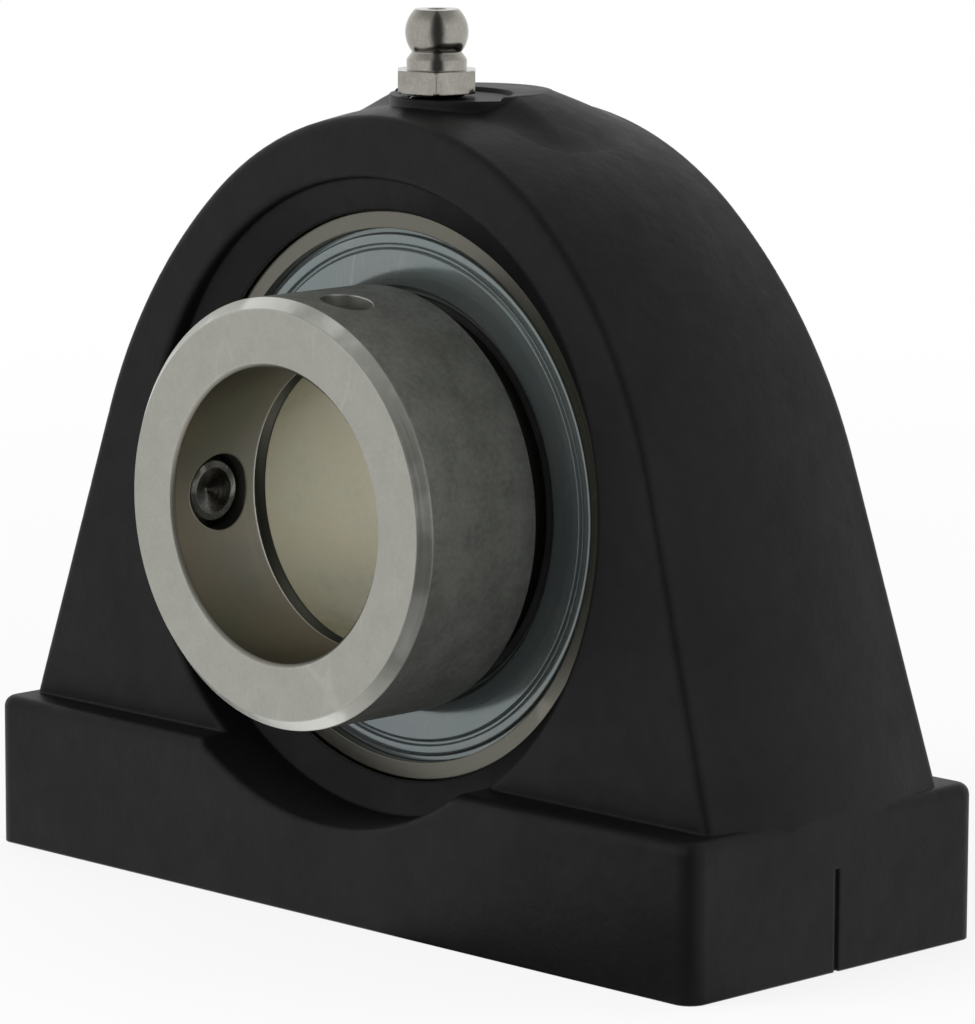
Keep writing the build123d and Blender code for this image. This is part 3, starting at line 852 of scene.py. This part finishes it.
def tube_mesh(
    name: str, rings: Sequence[Ring], closed: bool, sharp_from: float | None = None
) -> bpy.types.Object:
    """Builds a closed surface from rings of equal length.

    Args:
        name: The object's name.
        rings: The rings, in order along the surface.
        closed: Whether the last ring joins the first; otherwise both ends are capped with a fan.
        sharp_from: The angle in degrees between two faces from which their edge shows.

    Returns:
        The new object, linked to the scene.
    """
    mesh = bmesh.new()
    loops = skin(mesh, rings, closed)
    if not closed:
        for loop in (loops[0], loops[-1]):
            middle = mesh.verts.new(sum((vertex.co for vertex in loop), Vector()) / len(loop))
            for i, vertex in enumerate(loop):
                mesh.faces.new((vertex, loop[(i + 1) % len(loop)], middle))
    bmesh.ops.recalc_face_normals(mesh, faces=mesh.faces)
    piece = finish_mesh(name, mesh)
    if sharp_from is not None:
        piece.data.set_sharp_from_angle(angle=math.radians(sharp_from))
    return piece


def finish_mesh(name: str, mesh: bmesh.types.BMesh) -> bpy.types.Object:
    """Turns an edited mesh into a smooth object and frees it.

    Args:
        name: The object's name.
        mesh: The edited mesh.

    Returns:
        The new object, linked to the scene.
    """
    data = bpy.data.meshes.new(name)
    mesh.to_mesh(data)
    mesh.free()
    data.shade_smooth()
    piece = bpy.data.objects.new(name, data)
    bpy.context.scene.collection.objects.link(piece)
    return piece


def ease(share: float) -> float:
    """Rises smoothly from 0 to 1 as the share does, and stays level outside."""
    share = min(max(share, 0.0), 1.0)
    return share * share * (3.0 - 2.0 * share)


# ---------------------------------------------------------------- dressing
def dress(nodes: Iterable[str], material: bpy.types.Material) -> None:
    """Gives carried-over pieces a material.

    Args:
        nodes: The pieces' names.
        material: Their finish.
    """
    for name in nodes:
        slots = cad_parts[name].material_slots
        if not slots:
            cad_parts[name].data.materials.append(material)
        for slot in slots:
            slot.material = material
        log.info("%s: %s", name, material.name)


def attach(
    piece: bpy.types.Object,
    finish: bpy.types.Material,
    body: Body,
    replaced: str | None = None,
) -> None:
    """Dresses an added piece, hides the piece it replaces, hangs it on its body and logs its name, finish and
    body.

    Args:
        piece: The piece.
        finish: Its material.
        body: The body it rides on.
        replaced: The carried-over piece that it takes the place of.
    """
    piece.data.materials.append(finish)
    if replaced:
        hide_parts(replaced)
    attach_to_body(piece, body.value)
    log.info("%s: %s, rides the %s", piece.name, finish.name, body.value)


# ---------------------------------------------------------------- sub-assemblies
@dataclass
class Thread:
    """A helical thread: its sizes, and the radius of its surface at any height and turn.

    Args:
        outer: Radius of the crests of a screw, or of the roots of a nut.
        inner: Radius of the roots of a screw, or of the crests of a nut.
        pitch: Distance from crest to crest.
        inner_flat: Half the width of the flat at the inner radius, as a share of the pitch.
        flank: The width of a flank, as a share of the pitch.
    """

    outer: float
    inner: float
    pitch: float
    inner_flat: float = 0.07
    flank: float = 0.34

    def radius(self, height: float, turn: float) -> float:
        """Gives the radius of the thread's surface.

        Args:
            height: Distance along the axis.
            turn: Angle round the axis, in turns.

        Returns:
            The radius.
        """
        phase = (height / self.pitch - turn) % 1.0
        slope = min(1.0, max(0.0, (abs(phase - 0.5) - self.inner_flat) / self.flank))
        return self.inner + (self.outer - self.inner) * slope


@dataclass
class Housing:
    """The casting and the threads of its two base holes."""

    thread_root: float = 0.00423
    thread_crest: float = 0.00401
    thread_pitch: float = 0.0015
    thread_start: float = 0.0015
    thread_end: float = 0.0165
    lining_back: float = 0.00431
    sharp_from: float = 35.0
    steps_around: int = 40
    steps_per_turn: int = 10

    def thread(self, name: str, side: int) -> bpy.types.Object:
        """Builds the threaded lining of one base hole.

        Args:
            name: The lining's name.
            side: -1 for the left hole, 1 for the right one.

        Returns:
            The lining.
        """
        thread = Thread(self.thread_root, self.thread_crest, self.thread_pitch)
        axis = Vector((side * BASE_HOLE_SPACING / 2, CASTING_MIDDLE, 0.0))
        rows = int((self.thread_end - self.thread_start) / self.thread_pitch * self.steps_per_turn)
        rings: list[Ring] = []
        for row in range(rows + 1):
            height = self.thread_start + row * self.thread_pitch / self.steps_per_turn
            radii = (thread.radius(height, step / self.steps_around) for step in range(self.steps_around))
            rings.append(circle(axis + height * UP, EAST, NORTH, radii))
        for height in (self.thread_end, self.thread_start):
            behind = [self.lining_back] * self.steps_around
            rings.append(circle(axis + height * UP, EAST, NORTH, behind))
        return tube_mesh(name, rings, closed=True, sharp_from=self.sharp_from)

    def build(self, paint: bpy.types.Material) -> None:
        """Dresses the casting and adds the threads and the slope round the boss.

        Args:
            paint: The finish of the casting, bare at the machined places.
        """
        dress(["housing"], paint)
        attach(BossSlope().mesh(), paint, Body.HOUSING)
        for name, side in (("base_thread_left", -1), ("base_thread_right", 1)):
            attach(self.thread(name, side), paint, Body.HOUSING)


@dataclass
class BossSlope:
    """The cast slope from the round boss down to the crown. It ends where the spotface opens to the front."""

    boss_radius: float = 0.008
    boss_top: float = 0.08415
    reach: float = 0.01
    crown_half_width: float = 0.0124
    crown_centre: float = 0.0454886
    crown_radius: float = 0.0378114
    ridge_rounding: float = 0.08
    least_cosine: float = 0.1
    spotface_radius: float = 0.0079
    spotface_top: float = 0.08372
    open_from: float = -0.0065
    full_from: float = -0.0015
    half_turn: float = math.radians(136.0)
    sunk: float = 0.00003
    steps_around: int = 136
    steps_out: int = 16

    def crown(self, x: float, behind: float) -> float:
        """Gives the crown's height at a distance along the base and one behind the casting's middle."""
        fallen = self.ridge_rounding - math.sqrt(self.ridge_rounding**2 - behind**2)
        return self.crown_centre + math.sqrt((self.crown_radius - fallen) ** 2 - x**2)

    def point(self, turn: float, step: int) -> Vector:
        """Places one vertex of the slope.

        Args:
            turn: Angle round the boss, from straight behind it.
            step: Steps outwards from the boss's edge, with -1 for the row that is sunk into its top.

        Returns:
            The vertex.
        """
        edge = self.crown_half_width / max(abs(math.cos(turn)), self.least_cosine)
        reach = min(self.reach, edge - self.boss_radius)
        out = step / self.steps_out
        radius = self.boss_radius + reach * out
        x, behind = radius * math.sin(turn), radius * math.cos(turn)
        crown = self.crown(x, behind)
        back = ease((behind - self.open_from) / (self.full_from - self.open_from))
        share = back * min(1.0, (1.0 - out) ** 2)
        low, high = crown - self.sunk, self.boss_top + self.sunk / 2
        height = low + share * (high - low)
        if step < 0:
            height -= self.sunk
        y = behind + CASTING_MIDDLE
        if math.hypot(x, y - NIPPLE_MIDDLE) < self.spotface_radius:
            height = min(height, self.spotface_top)
        return Vector((x, y, height))

    def mesh(self) -> bpy.types.Object:
        """Builds the slope.

        Returns:
            The slope, a sheet whose edges are sunk into the casting.
        """
        mesh = bmesh.new()
        rows = []
        for around in range(self.steps_around + 1):
            turn = self.half_turn * (2.0 * around / self.steps_around - 1.0)
            points = [self.point(turn, step) for step in range(-1, self.steps_out + 1)]
            rows.append([mesh.verts.new(point) for point in points])
        for first, second in zip(rows, rows[1:]):
            for i in range(self.steps_out + 1):
                mesh.faces.new((first[i], second[i], second[i + 1], first[i + 1]))
        return finish_mesh("crown_boss_slope", mesh)


@dataclass
class SetScrew:
    """The collar's threaded set screw, with a hexagon socket and a cup point."""

    tip_radius: float = 0.0158
    length: float = 0.006
    depth_along_shaft: float = -0.0203
    crest_radius: float = 0.00389
    root_radius: float = 0.00338
    pitch: float = 0.001
    tip_face_radius: float = 0.0031
    cup_radius: float = 0.0024
    cup_depth: float = 0.0011
    cup_bottom: float = 0.0002
    socket_flats: float = 0.004
    socket_depth: float = 0.003
    socket_chamfer: float = 0.0003
    socket_bottom: float = 0.0003
    drill_cone: float = 0.0004
    sharp_from: float = 20.0
    steps_around: int = 48
    steps_per_turn: int = 12

    def hexagon(self, step: int) -> float:
        """Gives the radius of the socket's hexagon at a step."""
        angle = math.tau * step / self.steps_around
        return self.socket_flats / 2 / math.cos((angle + math.pi / 6) % (math.pi / 3) - math.pi / 6)

    def ring(self, height: float, radius: Callable[[int], float]) -> Ring:
        """Makes one ring of vertices round the screw.

        Args:
            height: Distance from the tip's face.
            radius: Gives the radius at each step.

        Returns:
            The ring.
        """
        centre = Vector((-(self.tip_radius + height), self.depth_along_shaft, SHAFT_HEIGHT))
        return circle(centre, NORTH, UP, map(radius, range(self.steps_around)))

    def round(self, height: float, radius: float) -> Ring:
        """Makes a plain round ring."""
        return self.ring(height, lambda step: radius)

    def socket(self, height: float, wider: float = 0.0) -> Ring:
        """Makes a ring of the hexagon socket, widened for its chamfer."""
        return self.ring(height, lambda step: self.hexagon(step) + wider)

    def threaded(self, thread: Thread, height: float) -> Ring:
        """Makes a ring of the thread, turned down towards both ends.

        Args:
            thread: The thread.
            height: Distance from the tip's face.

        Returns:
            The ring.
        """
        top = self.tip_face_radius + min(height, self.length - height)
        return self.ring(height, lambda step: min(top, thread.radius(height, step / self.steps_around)))

    def mesh(self) -> bpy.types.Object:
        """Builds the screw from the cup over the thread to the bottom of the socket.

        Returns:
            The screw.
        """
        thread = Thread(self.crest_radius, self.root_radius, self.pitch)
        rows = int(self.length / self.pitch * self.steps_per_turn)
        heights = (row * self.pitch / self.steps_per_turn for row in range(1, rows))
        mouth, floor = self.length, self.length - self.socket_depth
        rings = [
            self.round(self.cup_depth, self.cup_bottom),
            self.round(0.0, self.cup_radius),
            self.round(0.0, self.tip_face_radius),
            *(self.threaded(thread, height) for height in heights),
            self.round(mouth, self.tip_face_radius),
            self.socket(mouth, self.socket_chamfer),
            self.socket(mouth - self.socket_chamfer),
            self.socket(floor),
            self.round(floor - self.drill_cone, self.socket_bottom),
        ]
        return tube_mesh("threaded_set_screw", rings, closed=False, sharp_from=self.sharp_from)

    def build(self, finish: bpy.types.Material) -> None:
        """Adds the screw in place of the plain one.

        Args:
            finish: The screw's finish.
        """
        dress(["collar_set_screw"], finish)
        attach(self.mesh(), finish, Body.SET_SCREW, "collar_set_screw")


@dataclass
class PressedWasher:
    """The outer washer of a seal: a rolled rim between two grooves, a flat disc and a folded inner edge.

    Args:
        side: "front" or "rear".
    """

    side: str
    wall_radius: float = 0.02766
    back: float = 0.00782
    wall_groove: float = 0.0079
    groove: float = 0.00804
    groove_outer: float = 0.02714
    groove_inner: float = 0.02566
    rim_height: float = 0.0085
    rim_fullness: float = 0.35
    rim_outer: float = 0.0271
    rim_inner: float = 0.02594
    disc_height: float = 0.00838
    disc_shoulder: tuple[float, float] = (0.00826, 0.0255)
    disc_outer: float = 0.02536
    fold_start: float = 0.0219
    fold_end: float = 0.0212
    hole_radius: float = 0.02092
    hole_height: float = 0.0076
    hole_chamfer: float = 0.0001
    dish_back: float = 0.007
    dish_radius: float = 0.0228
    bend_radius: float = 0.0256
    sharp_from: float = 40.0
    steps_around: int = 160
    rim_steps: int = 12
    fold_steps: int = 8

    def profile(self) -> list[tuple[float, float]]:
        """Gives the section's distances from the mid-plane and radii, from the wall inwards and back."""
        middle, half = (self.rim_outer + self.rim_inner) / 2, (self.rim_outer - self.rim_inner) / 2
        turns = [math.pi * step / self.rim_steps for step in range(self.rim_steps + 1)]
        rises = [math.sin(turn) ** self.rim_fullness * (self.rim_height - self.groove) for turn in turns]
        shares = [step / self.fold_steps for step in range(self.fold_steps + 1)]
        fall, narrowing = self.hole_height - self.disc_height, self.fold_end - self.fold_start
        return [
            (self.back, self.wall_radius),
            (self.wall_groove, self.wall_radius),
            (self.wall_groove, self.groove_outer),
            *((self.groove + rise, middle + half * math.cos(turn)) for turn, rise in zip(turns, rises)),
            (self.groove, self.groove_inner),
            self.disc_shoulder,
            (self.disc_height, self.disc_outer),
            *((self.disc_height + fall * ease(part), self.fold_start + narrowing * part) for part in shares),
            (self.hole_height, self.hole_radius + self.hole_chamfer),
            (self.hole_height - self.hole_chamfer, self.hole_radius),
            (self.dish_back, self.hole_radius),
            (self.dish_back, self.dish_radius),
            (self.back, self.bend_radius),
        ]

    def build(self, finish: bpy.types.Material) -> None:
        """Adds the washer in place of the plain one.

        Args:
            finish: The plating.
        """
        way = -1.0 if self.side == "front" else 1.0
        rings = [
            circle(Vector((0.0, way * along, SHAFT_HEIGHT)), EAST, UP, [radius] * self.steps_around)
            for along, radius in self.profile()
        ]
        piece = tube_mesh(f"{self.side}_pressed_washer", rings, closed=True, sharp_from=self.sharp_from)
        attach(piece, finish, Body.INSERT, f"{self.side}_seal_outer_washer")


@dataclass
class Insert:
    """The bearing insert: rings, balls, cage and seals."""

    ball_count: int = 9

    def build(self) -> None:
        """Dresses the rings, balls, cage and seals."""
        rings = GroundSteel().material()
        dress(["outer_ring", "inner_ring"], rings)
        ball = BrightMetal(
            "polished_ball",
            light=(0.7, 0.7, 0.71),
            dark=(0.6, 0.6, 0.61),
            smoothest=0.04,
            roughest=0.09,
            patch_scale=500.0,
            bump_depth=0.000001,
            hairlines=0.15,
        ).material()
        dress([f"ball_{number}" for number in range(1, self.ball_count + 1)], ball)
        cage = BrightMetal(
            "pressed_cage",
            light=(0.42, 0.41, 0.37),
            dark=(0.3, 0.29, 0.26),
            smoothest=0.25,
            roughest=0.42,
            patch_scale=260.0,
            bump_depth=0.00001,
        ).material()
        dress(["cage_front", "cage_rear", "cage_rivets"], cage)
        zinc, rubber = ZincPlate().material(), SealRubber().material()
        for side in ("front", "rear"):
            dress([f"{side}_seal_outer_washer", f"{side}_seal_inner_washer"], zinc)
            dress([f"{side}_seal_rubber_lip"], rubber)
            PressedWasher(side).build(zinc)


@dataclass
class Collar:
    """The eccentric locking collar and its set screw."""

    def build(self) -> None:
        """Dresses the collar and adds its screw."""
        dress(["locking_collar"], TurnedCollar().material())
        oxide = BrightMetal(
            "black_oxide",
            light=(0.11, 0.11, 0.105),
            dark=(0.04, 0.04, 0.038),
            smoothest=0.2,
            roughest=0.38,
            patch_scale=500.0,
            bump_depth=0.000006,
            hairlines=0.6,
            gain=3.5,
        ).material()
        SetScrew().build(oxide)


@dataclass
class Nipple:
    """The grease nipple with its check ball and spring. Heights are above the boss's spotface."""

    place: tuple[float, float, float] = (0.0, NIPPLE_MIDDLE, 0.08375)
    corner_azimuth: float = -45.0
    thread_length: float = 0.005
    thread_outer: float = 0.00297
    thread_inner: float = 0.0026
    pitch: float = 0.001
    stand_off: float = 0.0005
    hex_flats: float = 0.0079
    hex_top: float = 0.00285
    hex_chamfer: float = 0.00016
    hex_face_radius: float = 0.0043
    collar_radius: float = 0.0031
    collar_root: float = 0.0001
    collar_bevel_start: float = 0.00387
    collar_bevel_end: tuple[float, float] = (0.00399, 0.00304)
    neck_top: float = 0.00465
    head_radius: float = 0.00325
    head_centre: float = 0.006665
    top: float = 0.009015
    mouth_radius: float = 0.0009
    mouth_chamfer: float = 0.00015
    seat_height: float = 0.00853
    chamber_radius: float = 0.00135
    chamber_top: float = 0.00808
    chamber_floor: float = -0.0042
    passage_radius: float = 0.0008
    grease_and_shade_gap: float = 0.00001
    sharp_from: float = 30.0
    steps_around: int = 96
    steps_per_turn: int = 12
    head_steps: int = 20

    def ring(self, height: float, radius: Callable[[int], float]) -> Ring:
        """Makes one ring of vertices round the nipple.

        Args:
            height: Height above the spotface.
            radius: Gives the radius at each step.

        Returns:
            The ring.
        """
        centre = Vector(self.place) + height * UP
        return circle(centre, EAST, NORTH, map(radius, range(self.steps_around)))

    def round(self, height: float, radius: float) -> Ring:
        """Makes a plain round ring."""
        return self.ring(height, lambda step: radius)

    def hexagon(self, step: int) -> float:
        """Gives the radius of the hexagon at a step, with a corner at the corner azimuth."""
        angle = math.tau * step / self.steps_around - math.radians(self.corner_azimuth)
        return self.hex_flats / 2 / math.cos(angle % (math.pi / 3) - math.pi / 6)

    def flats(self, height: float, limit: float = math.inf) -> Ring:
        """Makes a hexagonal ring whose corners may be turned down to a limit."""
        return self.ring(height, lambda step: min(limit, self.hexagon(step)))

    def mesh(self) -> bpy.types.Object:
        """Builds the nipple from the passage over the thread, hexagon and head back into the passage.

        Returns:
            The nipple.
        """
        low, high = self.stand_off, self.hex_top
        rings = [
            self.round(-self.thread_length, self.passage_radius),
            *self.threaded(),
            self.round(low, self.thread_inner),
            self.flats(low, self.hex_face_radius),
            self.flats(low + self.hex_chamfer),
            self.flats(high - self.hex_chamfer),
            self.flats(high, self.hex_face_radius),
            self.round(high, self.collar_radius + self.collar_root),
            self.round(high + self.collar_root, self.collar_radius),
            self.round(self.collar_bevel_start, self.collar_radius),
            self.round(*self.collar_bevel_end),
            *self.head(),
            self.round(self.top, self.mouth_radius + self.mouth_chamfer),
            self.round(self.top - self.mouth_chamfer, self.mouth_radius),
            self.round(self.seat_height, self.mouth_radius),
            self.round(self.chamber_top, self.chamber_radius),
            self.round(self.chamber_floor, self.chamber_radius),
            self.round(self.chamber_floor, self.passage_radius),
        ]
        return tube_mesh("threaded_grease_nipple", rings, closed=True, sharp_from=self.sharp_from)

    def threaded(self) -> list[Ring]:
        """Makes the rings of the thread, from its end up to the hexagon."""
        thread = Thread(self.thread_outer, self.thread_inner, self.pitch)
        rows = int((self.thread_length + self.stand_off) / self.pitch * self.steps_per_turn)
        heights = (row * self.pitch / self.steps_per_turn - self.thread_length for row in range(rows))
        return [
            self.ring(height, lambda step, h=height: thread.radius(h, step / self.steps_around))
            for height in heights
        ]

    def head(self) -> list[Ring]:
        """Makes the rings of the round head, from the neck up to its flat top."""
        start = math.asin((self.neck_top - self.head_centre) / self.head_radius)
        end = math.asin((self.top - self.head_centre) / self.head_radius)
        rings: list[Ring] = []
        for step in range(self.head_steps + 1):
            angle = start + (end - start) * step / self.head_steps
            height = self.head_centre + self.head_radius * math.sin(angle)
            rings.append(self.round(height, self.head_radius * math.cos(angle)))
        return rings

    def build(self) -> None:
        """Adds the nipple in place of the plain one, with its ball and spring."""
        nickel = BrightMetal(
            "nickel_plate",
            light=(0.36, 0.345, 0.31),
            dark=(0.25, 0.245, 0.215),
            smoothest=0.12,
            roughest=0.22,
            patch_scale=420.0,
            bump_depth=0.000003,
            edge_radius=0.0002,
            # the thread under the hexagon is dark: grease and painted shade
            grease_and_shade_below=self.place[2] + self.stand_off - self.grease_and_shade_gap,
        ).material()
        dress(["grease_nipple"], nickel)
        attach(self.mesh(), nickel, Body.HOUSING, "grease_nipple")
        ball = BrightMetal(
            "check_ball_steel",
            light=(0.6, 0.6, 0.6),
            dark=(0.5, 0.5, 0.5),
            smoothest=0.08,
            roughest=0.16,
        ).material()
        dress(["nipple_check_ball"], ball)
        wire = BrightMetal(
            "spring_wire",
            light=(0.4, 0.4, 0.4),
            dark=(0.28, 0.28, 0.28),
            smoothest=0.25,
            roughest=0.4,
            patch_scale=900.0,
        ).material()
        Spring().build(wire)


@dataclass
class Spring:
    """The coil spring under the nipple's check ball."""

    foot: tuple[float, float, float] = (0.0, NIPPLE_MIDDLE, 0.07955)
    coil_radius: float = 0.001
    wire_radius: float = 0.00015
    length: float = 0.010515
    ball_travel: float = 0.0008
    turns: int = 6
    steps_per_turn: int = 28
    steps_around_wire: int = 10
    joint: str = "check_ball_press"

    def mesh(self) -> bpy.types.Object:
        """Winds the wire.

        Returns:
            The spring.
        """
        count = self.turns * self.steps_per_turn
        slope = math.atan2(self.length, math.tau * self.coil_radius * self.turns)
        rings: list[Ring] = []
        for step in range(count + 1):
            angle = math.tau * step / self.steps_per_turn
            outward = math.cos(angle) * EAST + math.sin(angle) * NORTH
            level = math.cos(angle) * NORTH - math.sin(angle) * EAST
            across = outward.cross(math.cos(slope) * level + math.sin(slope) * UP)
            rise = self.wire_radius + self.length * step / count
            middle = Vector(self.foot) + self.coil_radius * outward + rise * UP
            rings.append(circle(middle, outward, across, [self.wire_radius] * self.steps_around_wire))
        return tube_mesh("coil_spring", rings, closed=False)

    def build(self, finish: bpy.types.Material) -> None:
        """Adds the spring in place of the rigid one.

        Args:
            finish: The wire's finish.
        """
        dress(["nipple_spring"], finish)
        piece = self.mesh()
        attach(piece, finish, Body.HOUSING, "nipple_spring")
        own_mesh(piece)


# ---------------------------------------------------------------- studio
@dataclass
class Lamp:
    """A soft rectangular lamp.

    Args:
        name: The lamp's name.
        place: Where it stands.
        aim: The point it looks at.
        size: Its width and height.
        power: Its power in watts.
    """

    name: str
    place: tuple[float, float, float]
    aim: tuple[float, float, float]
    size: tuple[float, float]
    power: float

    def build(self) -> None:
        """Adds the lamp."""
        data = bpy.data.lights.new(self.name, "AREA")
        data.shape = "RECTANGLE"
        data.size, data.size_y = self.size
        data.energy = self.power
        lamp = bpy.data.objects.new(self.name, data)
        lamp.location = self.place
        lamp.visible_glossy = False
        ahead = Vector(self.aim) - Vector(self.place)
        lamp.rotation_euler = ahead.to_track_quat("-Z", "Y").to_euler()
        bpy.context.scene.collection.objects.link(lamp)
        log.info("%s: lamp of %.1f W", self.name, self.power)


@dataclass
class Studio:
    """The floor, the world, the lamps and the camera."""

    floor_radii: tuple[float, ...] = (4.0, 2.0, 0.5, 0.02)
    floor_gap: float = 0.00005
    floor_corners: int = 64
    world_strength: float = 0.5
    ceiling_strength: float = 0.5
    ceiling_rise: Range = (0.35, 0.95)
    camera_place: tuple[float, float, float] = (0.43309, -0.427306, 0.142254)
    camera_azimuth: float = 45.118
    camera_tilt: float = 9.52
    camera_roll: float = 0.218
    focal_length: float = 208.375
    film_width: float = 36.0
    clip: Range = (0.05, 20.0)

    def floor(self) -> None:
        """Adds a round, flat floor a hair below the object, so that the two don't share a plane."""
        data = bpy.data.meshes.new("floor")
        mesh = bmesh.new()
        rings = [
            circle(Vector(), EAST, NORTH, [radius] * self.floor_corners) for radius in self.floor_radii
        ]
        mesh.faces.new(skin(mesh, rings, closed=False)[-1])
        mesh.to_mesh(data)
        mesh.free()
        floor = bpy.data.objects.new("floor", data)
        floor.location.z = -self.floor_gap
        data.materials.append(PaleFloor().material())
        bpy.context.scene.collection.objects.link(floor)
        log.info("floor: pale, %.0f m across", 2 * self.floor_radii[0])

    def world(self) -> None:
        """Sets the world: white for the camera, shaded for metal and glass, dimmer as light."""
        world = bpy.data.worlds.new("studio")
        world.use_nodes = True
        bpy.context.scene.world = world
        graph = Graph(world.node_tree)
        seen, rays = background_rays(graph)
        direction = graph.node("TexCoord").outputs["Generated"]
        height = graph.node("SeparateXYZ", {0: direction}).outputs["Z"]
        shown = graph.ramp(height, *self.ceiling_rise, 1.0, self.ceiling_strength)
        shown = graph.blend(dark_side(graph, direction), shown, DARK_SIDE_TONE)
        shown = graph.blend(rays["Is Camera Ray"], shown, 1.0)
        strength = graph.blend(seen, self.world_strength, shown)
        backdrop = graph.node("Background", {"Color": (1.0, 1.0, 1.0), "Strength": strength}).outputs[0]
        graph.node("OutputWorld", {"Surface": backdrop})

    def camera(self) -> None:
        """Adds the camera, turned by its azimuth, tilt and roll."""
        azimuth, tilt = math.radians(self.camera_azimuth), math.radians(self.camera_tilt)
        roll = math.radians(self.camera_roll)
        level = math.sin(azimuth) * EAST - math.cos(azimuth) * NORTH
        back = math.cos(tilt) * level + math.sin(tilt) * UP
        right = (-back).cross(UP).normalized()
        up = right.cross(-back)
        turned_right = math.cos(roll) * right + math.sin(roll) * up
        turned_up = -math.sin(roll) * right + math.cos(roll) * up
        data = bpy.data.cameras.new("camera")
        data.lens = self.focal_length
        data.sensor_width = self.film_width
        data.clip_start, data.clip_end = self.clip
        camera = bpy.data.objects.new("camera", data)
        turn = Matrix((turned_right, turned_up, back)).transposed().to_4x4()
        camera.matrix_world = Matrix.Translation(self.camera_place) @ turn
        bpy.context.scene.collection.objects.link(camera)
        bpy.context.scene.camera = camera

    def lamps(self) -> None:
        """Adds the key, the top lamp behind and the fill."""
        middle = (0.0, 0.0, 0.04)
        for lamp in (
            Lamp("key", (-0.45, -0.85, 0.55), middle, (0.6, 0.6), 6.0),
            Lamp("top", (-0.15, 0.35, 0.9), middle, (0.7, 0.4), 2.0),
            Lamp("fill", (0.9, -0.3, 0.35), middle, (0.6, 0.6), 5.0),
        ):
            lamp.build()

    def build(self) -> None:
        """Sets up the whole studio."""
        self.floor()
        self.world()
        self.lamps()
        self.camera()
        bpy.context.scene.view_settings.view_transform = "Standard"


def main() -> None:
    """Dresses the bearing, adds its threads and sets up the studio."""
    logging.basicConfig(level=logging.INFO, format="%(name)s %(message)s")
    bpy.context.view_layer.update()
    Housing().build(BlackPaint().material())
    Insert().build()
    Collar().build()
    Nipple().build()
    Studio().build()
    bpy.context.view_layer.update()


if __name__ == "__main__":
    main()
